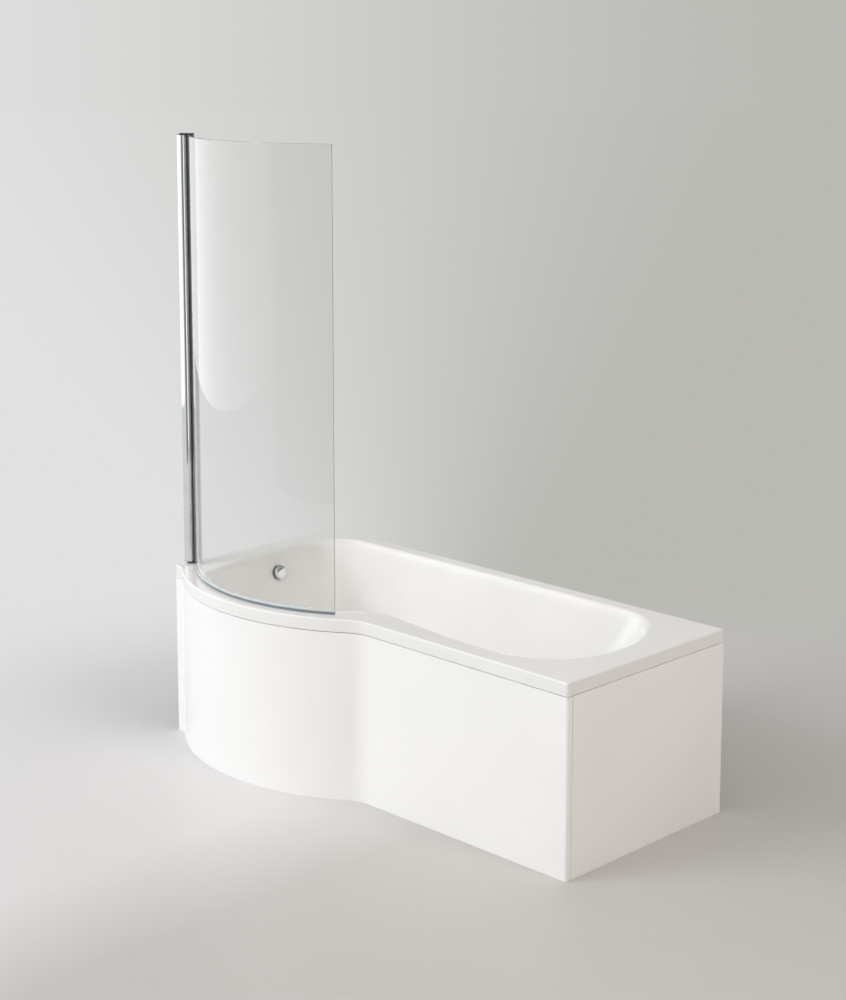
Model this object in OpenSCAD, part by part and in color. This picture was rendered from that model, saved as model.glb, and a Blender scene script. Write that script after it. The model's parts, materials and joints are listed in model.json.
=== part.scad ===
// P-shaped shower bath: an acrylic bath with a bowed shower end, its panels,
// its frame and feet, a cable-driven waste with overflow, and a curved glass screen.
// Millimetres, +Z up. The origin is on the floor, in the middle of the bath's length and of its
// greatest width. +X runs to the open narrow end, -X to the wall end with the screen, and -Y is
// the front, where the shower end bows out.

/* [Bath plan] */
// Length of the bath, from the wall end to the open end
bath_length = 1700; // [1650:10:1750]
// Width of the bath at its narrow end
narrow_width = 700; // [690:5:720]
// How far the shower end bows out past the straight front
bow_depth = 150; // [140:5:160]
// Radius of the bowed front
bow_radius = 680; // [660:10:700]
// Flat strip of the front beside the wall end
strip_width = 27; // [24:1:32]
// Radius of the inside corner between that strip and the bow
strip_radius = 14; // [10:1:18]
// Radius where the bow runs back into the straight front
waist_radius = 120; // [90:5:150]
// Radius of the rim's square corners
corner_radius = 8; // [6:1:10]

/* [Rim and basin] */
// Height of the rim's top above the floor
rim_height = 564; // [550:1:580]
// Depth of the rim's edge
rim_edge = 39; // [34:1:44]
// Rounding along the rim's outer edge
rim_round = 5; // [3:0.5:6]
// Thickness of the reinforced acrylic shell
shell_t = 5; // [4:0.5:6]
// Width of the rim along the straight front
rim_front = 58; // [54:1:62]
// Width of the rim along the back
rim_back = 45; // [43:1:50]
// Width of the rim at the wall end
rim_wall_end = 76; // [72:1:84]
// Width of the rim at the open end
rim_open_end = 84; // [78:1:100]
// Width of the rim round the bow
rim_bow = 58; // [55:1:62]
// Rounding of the basin's upper edge
basin_round = 16; // [10:1:20]
// Depth of the basin below the rim
basin_depth = 420; // [400:4:424]
// Distance from the front line to the basin's floor
floor_front = 150; // [140:5:170]
// Distance from the back to the basin's floor
floor_back = 135; // [125:5:150]
// Distance from the wall end to the basin's floor
floor_wall_end = 190; // [175:5:195]
// Distance from the open end to the foot of the backrest
floor_open_end = 430; // [400:10:460]
// Distance from the bowed front to the basin's floor
floor_bow = 138; // [130:4:150]
// Size of the rounding between the walls and the floor
floor_round = 60; // [50:5:70]
// Thickness of the baseboard bonded under the floor
board_t = 12; // [10:1:15]
// Gap between the baseboard's edge and the floor's outline
board_inset = 30; // [25:5:40]

/* [Rim battens] */
// Height of the timber battens under the rim
batten_h = 18; // [15:1:20]
// Width of the timber battens under the rim
batten_w = 20; // [16:1:22]

/* [Panels] */
// Thickness of the panels
panel_t = 4; // [3:0.5:5]
// How far the panels sit back from the rim's face
panel_setback = 1; // [0.5:0.5:2]
// Shadow gap between the panels and the rim
panel_gap = 2; // [1:0.5:3]
// Depth of the lips along a panel's top and foot
panel_lip = 16; // [14:1:18]
// How far the front panel returns round its corner
panel_return = 22; // [18:1:30]
// Gap between the front panel's return and the end panel
panel_joint = 1.5; // [1:0.5:2.5]
// Width of a panel clip
clip_w = 24; // [18:1:30]
// Thickness of a panel clip's legs
clip_t = 3; // [2:0.5:4]
// Height of the timber battens on the floor
sole_h = 25; // [20:1:30]
// Width of the timber battens on the floor
sole_w = 28; // [24:1:30]

/* [Frame and feet] */
// Positions of the first two leg bars along the bath, from the wall end
bar_places = [440, 820];
// Distance of the last leg bar from the open end
bar_from_open_end = 500; // [490:10:560]
// Width of a leg bar
bar_w = 30; // [28:1:36]
// Height of a leg bar
bar_h = 20; // [18:1:24]
// Thickness of a leg bar's steel
bar_t = 2; // [1.5:0.5:2.5]
// Distance from the back to the middle of the rear feet
foot_back = 60; // [50:5:80]
// Distance from the front line or the bow to the front feet
foot_front = 80; // [78:1:90]
// Radius of a foot's plastic pad
foot_r = 25; // [20:1:27]
// Thickness of a foot's plastic pad
foot_t = 8; // [6:1:10]
// Radius of the threaded studs
stud_r = 6; // [5:0.5:6]
// Wall bracket positions along the back, from the wall end
bracket_places = [320, 1380];
// Radius of the wall brackets' screw holes
bracket_hole_r = 2.75; // [2.5:0.25:3.5]

/* [Waste and overflow] */
// Distance from the wall end to the middle of the waste
waste_from_wall = 310; // [305:5:330]
// Radius of the waste's chromed flange
flange_r = 35; // [32:1:38]
// Thickness of the flange
flange_t = 3; // [2:0.5:3]
// Radius of the hole for the waste in the bath's floor
waste_hole_r = 26; // [25:0.5:27]
// Outer radius of the waste's tube
waste_tube_r = 24; // [22:0.5:24]
// Bore radius of the waste's tube
waste_bore_r = 20; // [18:0.5:20.5]
// Radius of the plug
plug_r = 29; // [27:0.5:30]
// How far the plug rises
plug_lift = 12; // [8:1:14]
// Depth of the overflow's centre below the rim
overflow_drop = 72; // [65:1:80]
// Radius of the overflow's slotted ring
ring_r = 24.2; // [22:0.2:26]
// How far the knob's face stands off the wall of the basin
knob_standoff = 19; // [17:1:22]
// Radius of the overflow knob
knob_r = 23; // [21:0.5:24]
// Radius of the hole for the overflow in the basin's wall
overflow_hole_r = 20; // [19:0.5:21]
// Outer radius of the overflow hose
hose_r = 15; // [13:0.5:16]
// Bore radius of the waste pipe socket
pipe_r = 21.7; // [20:0.1:21.8]
// Depth of the waste pipe socket
pipe_depth = 30; // [24:1:34]

/* [Screen] */
// Height of the glass
glass_h = 1400; // [1300:10:1450]
// Thickness of the glass
glass_t = 6; // [5:1:8]
// Radius of the glass along its middle line
glass_radius = 602; // [590:2:614]
// Width of the glass measured round its curve
glass_w = 824; // [780:2:830]
// Gap between the rim and the glass's lower edge
glass_lift = 8; // [6:1:12]
// Height of the hinge post above the rim
post_h = 1408; // [1308:10:1458]
// Width of the hinge post
post_w = 28; // [26:1:30]
// Thickness of the hinge post's wall
post_t = 1.6; // [1.4:0.1:2]
// Distance from the front line to the hinge post's axis
post_from_front = 53; // [50:1:58]
// Thickness of the profile that holds the glass
holder_w = 20; // [18:1:22]
// Depth of the profile that holds the glass
holder_d = 24; // [22:1:28]
// Running gap between the hinge post and the glass's profile
holder_gap = 1.2; // [0.8:0.2:2]
// Radius of the pivot pins
pivot_r = 4; // [3:0.5:5]

/* [Hidden] */
$fn = 64;

fit = 0.3;         // clearance between separate pieces that don't turn on each other
running = 0.05;    // radial clearance of a turning fit
x_wall = -bath_length / 2;
x_open = bath_length / 2;
y_back = (narrow_width + bow_depth) / 2;
y_front = y_back - narrow_width;
y_mid = y_front + narrow_width / 2;
rim_bottom = rim_height - rim_edge;
floor_z = rim_height - basin_depth;
board_top = floor_z - shell_t;
board_bottom = board_top - board_t;
panel_h = rim_bottom - panel_gap;

// The bow and the two small curves that join it to the straight front
bow_flat = bow_radius - bow_depth;
strip_span = sqrt(pow(bow_radius + strip_radius, 2) - pow(bow_flat + strip_radius, 2));
waist_span = sqrt(pow(bow_radius + waist_radius, 2) - pow(bow_flat + waist_radius, 2));
bow_c = [x_wall + strip_width + strip_span, y_front + bow_flat];
strip_c = [x_wall + strip_width, y_front - strip_radius];
waist_c = [bow_c.x + waist_span, y_front - waist_radius];
strip_angle = atan2(strip_c.y - bow_c.y, strip_c.x - bow_c.x);
waist_angle = atan2(waist_c.y - bow_c.y, waist_c.x - bow_c.x);

// --- Plan curves ---------------------------------------------------------------------------

function unit(v) = v / norm(v);
function left_of(v) = [-v.y, v.x];
function mix(p, q, t) = p + (q - p) * t;
function polar(c, r, a) = c + r * [cos(a), sin(a)];

// n points from p towards q, without q
function line_points(p, q, n) = [for (i = [0:n - 1]) mix(p, q, i / n)];

// n points round an arc, without its last
function arc_points(c, r, a0, a1, n) = [for (i = [0:n - 1]) polar(c, r, a0 + (a1 - a0) * i / n)];

// Where the tangents at the two ends of an arc meet
function arc_vertex(c, r, a0, a1) = polar(c, r / cos((a1 - a0) / 2), (a0 + a1) / 2);

// A point on a smooth bend from p to q that leaves and arrives along the lines to the corner v
function bend_point(p, v, q, w, t) =
    (p * pow(1 - t, 2) + v * 2 * w * t * (1 - t) + q * t * t)
    / (pow(1 - t, 2) + 2 * w * t * (1 - t) + t * t);

// A closed outline from corners [point, run before it, run after it, steps, points on the line after]
function corner_in(c, i) = unit(c[i][0] - c[(i + len(c) - 1) % len(c)][0]);
function corner_out(c, i) = unit(c[(i + 1) % len(c)][0] - c[i][0]);
function bend_start(c, i) = c[i][0] - corner_in(c, i) * c[i][1];
function bend_end(c, i) = c[i][0] + corner_out(c, i) * c[i][2];
function bend_weight(c, i) = sqrt((1 + corner_in(c, i) * corner_out(c, i)) / 2);
function rounded_outline(c) = [
    for (i = [0:len(c) - 1])
        each concat(
            [for (s = [0:c[i][3]])
                bend_point(bend_start(c, i), c[i][0], bend_end(c, i), bend_weight(c, i), s / c[i][3])],
            [for (s = [1:1:c[i][4]])
                mix(bend_end(c, i), bend_start(c, (i + 1) % len(c)), s / (c[i][4] + 1))]
        )
];

// Unit normals of a closed outline, pointing into it
function inward(o) = [for (i = [0:len(o) - 1])
    left_of(unit(o[(i + 1) % len(o)] - o[(i + len(o) - 1) % len(o)]))];
function moved(o, n, d) = [for (i = [0:len(o) - 1]) o[i] + n[i] * d];

// The outline of the whole bath, moved in by d, counter-clockwise from a place on the straight
// front
outline_start_x = x_open - 330;
function bath_outline(d) = concat(
    line_points([outline_start_x, y_front + d], [x_open - corner_radius, y_front + d], 5),
    arc_points([x_open, y_front] + [-1, 1] * corner_radius, corner_radius - d, -90, 0, 4),
    line_points([x_open - d, y_front + corner_radius], [x_open - d, y_back - corner_radius], 13),
    arc_points([x_open, y_back] - [1, 1] * corner_radius, corner_radius - d, 0, 90, 4),
    line_points([x_open - corner_radius, y_back - d], [x_wall + corner_radius, y_back - d], 20),
    arc_points([x_wall, y_back] + [1, -1] * corner_radius, corner_radius - d, 90, 180, 4),
    line_points([x_wall + d, y_back - corner_radius], [x_wall + d, y_front + corner_radius], 15),
    arc_points([x_wall, y_front] + [1, 1] * corner_radius, corner_radius - d, 180, 270, 2),
    arc_points(strip_c, strip_radius + d, 90, strip_angle + 180, 4),
    arc_points(bow_c, bow_radius - d, strip_angle, waist_angle, 27),
    arc_points(waist_c, waist_radius + d, waist_angle + 180, 90, 6),
    line_points([waist_c.x, y_front + d], [outline_start_x, y_front + d], 11)
);

// The basin's opening in the rim
opening_bow_r = bow_radius - rim_bow;
opening_bow = [-120, -76];      // the stretch of the bow that the opening follows
opening_bow_v = arc_vertex(bow_c, opening_bow_r, opening_bow[0], opening_bow[1]);
opening_bow_run = opening_bow_r * tan((opening_bow[1] - opening_bow[0]) / 2);
x_opening_wall = x_wall + rim_wall_end;
function on_line_at_x(p, a, x) = [x, p.y + (x - p.x) * tan(a)];
opening_run = x_open - rim_open_end - waist_c.x;     // from the waist to the opening's far end
opening_corners = [
    [[x_open - rim_open_end, y_front + rim_front], 0.355 * opening_run, 260, 14, 0],
    [[x_open - rim_open_end, y_back - rim_back], 330, 250, 15, 12],
    [[x_opening_wall, y_back - rim_back], 140, 160, 9, 3],
    [on_line_at_x(polar(bow_c, opening_bow_r, opening_bow[0]), opening_bow[0] + 90, x_opening_wall),
        330, 95, 11, 0],
    [opening_bow_v, opening_bow_run - 60, opening_bow_run, 22, 0],
    [polar(bow_c, opening_bow_r, opening_bow[1]) + 109 * left_of(polar([0, 0], 1, opening_bow[1])),
        90, 80, 6, 0],
    [[waist_c.x - 92, y_front + rim_front + 42], 70, 110, 7, 3],
    [[waist_c.x + opening_run / 2, y_front + rim_front - 2],
        0.16 * opening_run, 0.125 * opening_run, 5, 0]
];
opening = rounded_outline(opening_corners);
opening_in = inward(opening);

// The basin's floor, before its edge is rounded
floor_bow_r = bow_radius - floor_bow;
floor_bow_arc = [-116, -76];
floor_bow_v = arc_vertex(bow_c, floor_bow_r, floor_bow_arc[0], floor_bow_arc[1]);
floor_bow_run = floor_bow_r * tan((floor_bow_arc[1] - floor_bow_arc[0]) / 2);
x_floor_wall = x_wall + floor_wall_end;
floor_run = x_open - floor_open_end - waist_c.x;     // from the waist to the foot of the backrest
floor_corners = [
    [[x_open - floor_open_end, y_front + floor_front], 0.43 * floor_run, 160, 14, 0],
    [[x_open - floor_open_end, y_back - floor_back], 180, 150, 15, 12],
    [[x_floor_wall, y_back - floor_back], 120, 130, 9, 3],
    [on_line_at_x(polar(bow_c, floor_bow_r, floor_bow_arc[0]), floor_bow_arc[0] + 90, x_floor_wall),
        150, 70, 11, 0],
    [floor_bow_v, floor_bow_run - 60, floor_bow_run, 22, 0],
    [polar(bow_c, floor_bow_r, floor_bow_arc[1]) + 90 * left_of(polar([0, 0], 1, floor_bow_arc[1])),
        75, 70, 6, 0],
    [[waist_c.x - 105, y_front + floor_front - 2], 70, 90, 7, 3],
    [[waist_c.x + floor_run / 3, y_front + floor_front], 0.16 * floor_run, 0.175 * floor_run, 5, 0]
];
basin_floor = rounded_outline(floor_corners);
basin_floor_in = inward(basin_floor);

// --- Lofted shell --------------------------------------------------------------------------

function at_height(o, z) = [for (p = o) [p.x, p.y, z]];

// Rings of one skin of the basin: top_edge is where its rounding starts, at height top_z, and
// grow is how far the skin lies outside the inner one
function basin_rings(top_edge, top_z, bottom_z, grow) =
    let (
        head = at_height(moved(opening, opening_in, basin_round - grow), top_z),
        foot = at_height(moved(basin_floor, basin_floor_in, -grow), bottom_z),
        inner = at_height(moved(basin_floor, basin_floor_in, floor_round), bottom_z),
        start = at_height(top_edge, top_z),
        upper = [for (i = [0:len(head) - 1]) mix(head[i], foot[i], 0.05)],
        lower = [for (i = [0:len(head) - 1]) mix(head[i], foot[i], 0.8)]
    )
    concat(
        [for (t = [0:0.25:1])
            [for (i = [0:len(head) - 1]) bend_point(start[i], head[i], upper[i], 1, t)]],
        [for (t = [0.35:0.35:0.7]) [for (i = [0:len(head) - 1]) mix(upper[i], lower[i], t)]],
        [for (t = [0:0.25:1])
            [for (i = [0:len(head) - 1]) bend_point(lower[i], foot[i], inner[i], 1, t)]]
    );

function rim_rings(top_z) = concat(
    [at_height(bath_outline(0), rim_bottom)],
    [for (a = [0:30:90])
        at_height(bath_outline(rim_round * (1 - cos(a))), top_z - rim_round * (1 - sin(a)))]
);

function under_rings(top_z) = [
    at_height(bath_outline(shell_t), rim_bottom),
    at_height(bath_outline(shell_t), top_z)
];

// Faces between two rings that start at point indices a and b
function band(a, b, n) = [for (i = [0:n - 1])
    let (j = (i + 1) % n)
    each [[a + i, b + j, b + i], [a + i, a + j, b + j]]];

// Faces from a ring to one point in its middle
function cap(a, middle, n) = [for (i = [0:n - 1]) [a + i, a + (i + 1) % n, middle]];

// A closed body from rings that run over its upper side and back under its lower side
module shell_of(upper, lower, middle) {
    n = len(upper[0]);
    rings = concat([for (i = [len(upper) - 1:-1:0]) upper[i]], lower);
    count = len(rings);
    points = concat([for (r = rings) each r], [
        [middle.x, middle.y, upper[len(upper) - 1][0].z],
        [middle.x, middle.y, lower[len(lower) - 1][0].z]
    ]);
    faces = concat(
        [for (k = [0:count - 2]) each band(k * n, (k + 1) * n, n)],
        [for (f = cap(0, count * n, n)) [f[2], f[1], f[0]]],
        cap((count - 1) * n, count * n + 1, n)
    );
    polyhedron(points = points, faces = faces, convexity = 12);
}

// --- Places --------------------------------------------------------------------------------

basin_middle = [bow_c.x + 140, y_mid - 20];

// The waste
waste = [x_wall + waste_from_wall, y_mid];
recess_depth = 2.5;
seat_z = floor_z - recess_depth;     // where the waste's top washer lies
washer_t = 1;
flange_top = seat_z + washer_t + flange_t;
tube_end = floor_z - 32;             // lower end of the flange's tube
body_top = floor_z - 18;             // the waste body's upper edge
body_bottom = floor_z - 56;
spigot_end = floor_z - 78;           // lower end of the waste body's spigot
inlet_z = floor_z - 39;              // height of the hose's inlet
bend_z = floor_z - 94;               // where the trap's bend starts
bend_r = 24;
outlet_z = bend_z + 10 + bend_r;     // height of the trap's outlet
trap_r = 19;
trap_bore = 16;
socket_y = 90;                       // where the outlet's socket starts, from the waste
cable_r = 2.5;                       // radius of the control cable
cable_side = 24;                     // how far the cable runs to the front of the hose

// The wall that carries the overflow leans by this much
wall_lean = atan2(floor_wall_end - rim_wall_end - basin_round, basin_depth);
pad_depth = 1;
overflow_z = rim_height - overflow_drop;
overflow_x = x_opening_wall + basin_round + overflow_drop * tan(wall_lean);
overflow_out = [cos(wall_lean), 0, sin(wall_lean)];
overflow_down = [sin(wall_lean), 0, -cos(wall_lean)];
overflow_c = [overflow_x, y_mid, overflow_z] - overflow_out * pad_depth;
back_pad = -3.5;                     // the flat behind the overflow's hole
outlet_depth = -24;                  // how far behind the pad the hose runs
nose_r = overflow_hole_r - 2;        // the part of the overflow's body that comes through the hole
ring_h = 9;
cup_r = ring_r + 2.8;                // the overflow's body behind the wall

// The screen's hinge
hinge = [x_wall + post_w / 2, y_front + post_from_front];
post_bottom = rim_height + 6.3;
post_top = rim_height + post_h - 0.3;
bush_flange = 2;
bush_depth = 20;
holder_y = post_w / 2 + holder_gap + holder_w / 2;   // from the hinge's axis to the glass
holder_back = -4;
holder_front = holder_back + holder_d;
glass_start = 6;
glass_bottom = rim_height + glass_lift;
glass_top = glass_bottom + glass_h;
arm_t = 4;
arm_r = post_w / 2 - 2;
cap_h = 12;
channel_t = 1.6;
channel_w = post_w - 2 * post_t - 4 * fit;
channel_bottom = post_bottom + bush_depth + 2;
channel_top = post_top - bush_depth - 2;
channel_hole_r = 2.5;
channel_holes = 4;
channel_hole_step = 420;
channel_first_hole = channel_bottom + 48;

// Feet and bars
bar_x = [x_wall + bar_places[0], x_wall + bar_places[1], x_open - bar_from_open_end];
function front_line(x, d) = x < polar(bow_c, bow_radius, waist_angle).x
    ? bow_c.y - sqrt(pow(bow_radius - d, 2) - pow(x - bow_c.x, 2))
    : y_front + d;
foot_places = [for (x = bar_x) each [[x, front_line(x, foot_front)], [x, y_back - foot_back]]];
bar_top = board_bottom;
bar_screw_out = 100;        // from the bath's middle to each row of screws
bar_screw_y = [y_mid - bar_screw_out, y_mid + bar_screw_out];
web_z = bar_top - bar_t;
stud_top = bar_top + 23;
nut_r = 10.97;
nut_h = 10;

// Panel clips: a point on the rim's outline and the direction it faces
bow_clip_angles = [-120, -98, -72];
front_clip_x = [for (share = [0.14, 0.5, 0.86]) mix(waist_c.x, x_open, share)];
end_clip_y = [y_front + 160, y_back - 140];
clip_places = concat(
    [for (a = bow_clip_angles) [each polar(bow_c, bow_radius, a), a]],
    [for (x = front_clip_x) [x, y_front, -90]],
    [for (y = end_clip_y) [x_open, y, 0]]
);
batten_offset = 12;                  // from the rim's face to a batten
batten_end = 40;                     // from the ends of the rim to the ends of its battens
batten_top = rim_height - shell_t;
batten_bottom = batten_top - batten_h;
clip_screw_in = batten_offset + batten_w - 5;
bow_batten_ends = [strip_angle + 4, waist_angle - 4];
bow_block_angles = [-118, -72];
bracket_w = 60;
bracket_t = 3;
bracket_leg = 60;
bracket_hole_step = 40;
bracket_screw_step = 30;
bracket_hole_z = rim_bottom - 40;
bracket_x = [for (p = bracket_places) x_wall + p];
bracket_screw_z = batten_bottom + 6;
batten_back_y = y_back - batten_offset - batten_w;

// --- Helpers -------------------------------------------------------------------------------

// An upright tube or rod
module rod(r, z0, z1) {
    translate([0, 0, z0]) cylinder(r = r, h = z1 - z0);
}

module tube(r, bore, z0, z1) {
    difference() {
        rod(r, z0, z1);
        rod(bore, z0 - 1, z1 + 1);
    }
}

// A block from one corner to the other
module block(p, q) {
    translate(p) cube(q - p);
}

// Part of an upright ring
module sector(c, r0, r1, a0, a1, z0, z1) {
    translate([c.x, c.y, z0])
        rotate_extrude(angle = a1 - a0, start = a0)
            translate([r0, 0]) square([r1 - r0, z1 - z0]);
}

module at_clips() {
    for (p = clip_places) translate([p.x, p.y, 0]) rotate([0, 0, p.z]) children();
}

module at_feet() {
    for (p = foot_places) translate([p.x, p.y, 0]) children();
}

module at_waste() {
    translate([waste.x, waste.y, 0]) children();
}

// +Z points into the basin along the overflow's axis, +X points down the wall
module at_overflow() {
    translate(overflow_c) rotate([0, 90 - wall_lean, 0]) children();
}

// +X is the way the glass leaves its profile, +Y the way from the post to the profile
module at_hinge() {
    translate([hinge.x, hinge.y, 0]) rotate([0, 0, -45]) children();
}

// --- Bath ----------------------------------------------------------------------------------

module bath_shell() {
    color("white")
    difference() {
        shell_of(
            concat(rim_rings(rim_height), basin_rings(opening, rim_height, floor_z, 0)),
            concat(under_rings(rim_height - shell_t),
                basin_rings(moved(opening, opening_in, -shell_t / 2), rim_height - shell_t,
                    floor_z - shell_t, shell_t)),
            basin_middle
        );
        at_waste() rod(flange_r + 1, seat_z, floor_z + 1);
        at_waste() rod(waste_hole_r, floor_z - 20, floor_z);
        at_overflow() rod(overflow_hole_r, -20, 10);
        at_overflow() rod(ring_r + 2, 0, 12);
        at_overflow() rod(ring_r + 5, -16, back_pad);
    }
}

module base_board() {
    color("burlywood")
    difference() {
        translate([0, 0, board_bottom])
            linear_extrude(board_t) polygon(moved(basin_floor, basin_floor_in, board_inset));
        at_waste() rod(60, board_bottom - 1, board_top + 1);
        for (x = bar_x, y = bar_screw_y)
            translate([x, y, 0]) rod(2.05, board_bottom - 1, board_bottom + 9);
    }
}

module clip_screw_holes() {
    at_clips() translate([-clip_screw_in, 0, 0]) rod(2.05, batten_bottom - 1, batten_bottom + 13);
}

module rim_batten_back() {
    color("burlywood")
    difference() {
        block([x_wall + batten_end, batten_back_y, batten_bottom],
            [x_open - batten_end, batten_back_y + batten_w, batten_top]);
        for (x = bracket_x, side = [-1, 1])
            translate([x + side * bracket_screw_step / 2, batten_back_y - 1, bracket_screw_z])
                rotate([-90, 0, 0]) cylinder(r = 2.05, h = 17);
    }
}

module rim_batten_front() {
    color("burlywood")
    difference() {
        block([waist_c.x + 20, y_front + batten_offset, batten_bottom],
            [x_open - batten_end, y_front + batten_offset + batten_w, batten_top]);
        clip_screw_holes();
    }
}

module rim_batten_open_end() {
    color("burlywood")
    difference() {
        block([x_open - batten_offset - batten_w, y_front + batten_end, batten_bottom],
            [x_open - batten_offset, y_back - batten_end, batten_top]);
        clip_screw_holes();
    }
}

module rim_batten_wall_end() {
    color("burlywood")
    block([x_wall + batten_offset, y_front + 20, batten_bottom],
        [x_wall + batten_offset + batten_w, y_back - batten_end, batten_top]);
}

module rim_batten_bow() {
    color("burlywood")
    difference() {
        sector(bow_c, bow_radius - batten_offset - batten_w, bow_radius - batten_offset,
            bow_batten_ends[0], bow_batten_ends[1], batten_bottom, batten_top);
        clip_screw_holes();
    }
}

// --- Panels --------------------------------------------------------------------------------

// The panel's line at a distance inside the rim's face: the wall strip, the bow, the waist, the
// straight front, and round the corner
function bow_line(d) = concat(
    arc_points(bow_c, bow_radius - d, strip_angle, waist_angle, 40),
    arc_points(waist_c, waist_radius + d, waist_angle + 180, 90, 10)
);
function panel_line(d) = concat(
    [[x_wall + 1, y_front + d]],
    arc_points(strip_c, strip_radius + d, 90, strip_angle + 180, 4),
    bow_line(d),
    [[waist_c.x, y_front + d]],
    arc_points([x_open - corner_radius, y_front + corner_radius], corner_radius - d, -90, 0, 4),
    [[x_open - d, y_front + corner_radius], [x_open - d, y_front + panel_return]]
);
function lip_line(d) = concat(bow_line(d), [[waist_c.x, y_front + d], [x_open - 40, y_front + d]]);
function reversed(o) = [for (i = [len(o) - 1:-1:0]) o[i]];

module front_panel() {
    d0 = panel_setback;
    d1 = panel_setback + panel_t;
    color("ghostwhite")
    union() {
        linear_extrude(panel_h) polygon(concat(panel_line(d0), reversed(panel_line(d1))));
        for (z = [0, panel_h - panel_t])
            translate([0, 0, z])
                linear_extrude(panel_t)
                    polygon(concat(lip_line(d1 - 1), reversed(lip_line(d0 + panel_lip))));
    }
}

module end_panel() {
    y0 = y_front + panel_return + panel_joint;
    y1 = y_back - 1;
    x1 = x_open - panel_setback;
    color("gainsboro")
    union() {
        block([x1 - panel_t, y0, 0], [x1, y1, panel_h]);
        for (z = [0, panel_h - panel_t])
            block([x1 - panel_lip, y0 + 10, z], [x1 - panel_t + 1, y1 - 10, z + panel_t]);
    }
}

// Each clip hangs from a batten and holds up the lip of a panel
module panel_clips() {
    lip_z = panel_h - panel_t;
    leg = panel_setback + panel_lip + 3;
    back = batten_offset + batten_w;
    color("silver")
    at_clips()
        difference() {
            translate([0, clip_w / 2, 0])
                rotate([90, 0, 0])
                    linear_extrude(clip_w) polygon([
                        [-8, lip_z], [-8, lip_z - clip_t], [-leg - clip_t, lip_z - clip_t],
                        [-leg - clip_t, batten_bottom - clip_t], [-back, batten_bottom - clip_t],
                        [-back, batten_bottom], [-leg, batten_bottom], [-leg, lip_z]
                    ]);
            translate([-clip_screw_in, 0, 0]) rod(2.2, batten_bottom - clip_t - 1, batten_bottom + 1);
        }
}

module panel_clip_screws() {
    color("silver")
    at_clips() translate([-clip_screw_in, 0, batten_bottom - clip_t]) {
        rod(2, 0, clip_t + 12);
        rod(3.6, -2, 0);
    }
}

module floor_batten_front() {
    d = panel_setback + panel_lip + fit;
    color("burlywood")
    block([waist_c.x + 60, y_front + d, 0], [x_open - 60, y_front + d + sole_w, sole_h]);
}

module floor_batten_end() {
    d = panel_setback + panel_lip + fit;
    color("burlywood")
    block([x_open - d - sole_w, y_front + 80, 0], [x_open - d, y_back - 20, sole_h]);
}

module floor_blocks_bow() {
    r = bow_radius - panel_setback - panel_lip - 3;
    color("burlywood")
    for (a = bow_block_angles)
        translate([bow_c.x, bow_c.y, 0]) rotate([0, 0, a])
            block([r - sole_w, -60, 0], [r, 60, sole_h]);
}

// --- Frame and feet ------------------------------------------------------------------------

// A channel that opens downwards, with a hole for each foot and each screw
module leg_bar(i) {
    x = bar_x[i];
    y0 = front_line(x, foot_front) - 20;
    y1 = y_back - foot_back + 20;
    color("lightsteelblue")
    difference() {
        block([x - bar_w / 2, y0, bar_top - bar_h], [x + bar_w / 2, y1, bar_top]);
        block([x - bar_w / 2 + bar_t, y0 - 1, bar_top - bar_h - 1],
            [x + bar_w / 2 - bar_t, y1 + 1, web_z]);
        at_feet() rod(stud_r + fit, web_z - 1, bar_top + 1);
        for (y = bar_screw_y) translate([x, y, 0]) rod(2.3, web_z - 1, bar_top + 1);
    }
}

module leg_bar_waste_end() leg_bar(0);
module leg_bar_middle() leg_bar(1);
module leg_bar_open_end() leg_bar(2);

module leg_bar_screws() {
    color("silver")
    for (x = bar_x, y = bar_screw_y) translate([x, y, 0]) {
        rod(2, web_z, board_bottom + 8);
        rod(4.5, web_z - 2.5, web_z);
    }
}

module foot_studs() {
    color("silver")
    at_feet() rod(stud_r, foot_t / 2, stud_top);
}

module hex_nut(z) {
    difference() {
        translate([0, 0, z]) cylinder(r = nut_r, h = nut_h, $fn = 6);
        rod(stud_r + running, z - 1, z + nut_h + 1);
    }
}

module foot_adjusting_nuts() {
    color("silver")
    at_feet() hex_nut(web_z - nut_h);
}

module foot_lock_nuts() {
    color("silver")
    at_feet() hex_nut(bar_top);
}

module foot_pads() {
    color("dimgray")
    at_feet()
        difference() {
            rotate_extrude() polygon([
                [0, 0], [foot_r, 0], [foot_r, foot_t - 2], [foot_r - 2, foot_t],
                [12, foot_t], [10, 20], [0, 20]
            ]);
            rod(stud_r + running, foot_t / 2, 21);
        }
}

// Each bracket carries the rim at the back and is screwed to the wall and to the batten
module wall_brackets() {
    color("lightsteelblue")
    for (x = bracket_x)
        difference() {
            union() {
                block([x - bracket_w / 2, y_back - bracket_t, rim_bottom - bracket_leg],
                    [x + bracket_w / 2, y_back, rim_bottom]);
                block([x - bracket_w / 2, batten_back_y - bracket_t, rim_bottom - bracket_t],
                    [x + bracket_w / 2, y_back - 1, rim_bottom]);
                block([x - bracket_w / 2, batten_back_y - bracket_t, rim_bottom - 1],
                    [x + bracket_w / 2, batten_back_y, batten_bottom + 12]);
            }
            for (side = [-1, 1]) {
                translate([x + side * bracket_hole_step / 2, y_back - bracket_t - 1, bracket_hole_z])
                    rotate([-90, 0, 0]) cylinder(r = bracket_hole_r, h = bracket_t + 2);
                translate([x + side * bracket_screw_step / 2, batten_back_y - bracket_t - 1, bracket_screw_z])
                    rotate([-90, 0, 0]) cylinder(r = 2.3, h = bracket_t + 2);
            }
        }
}

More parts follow.
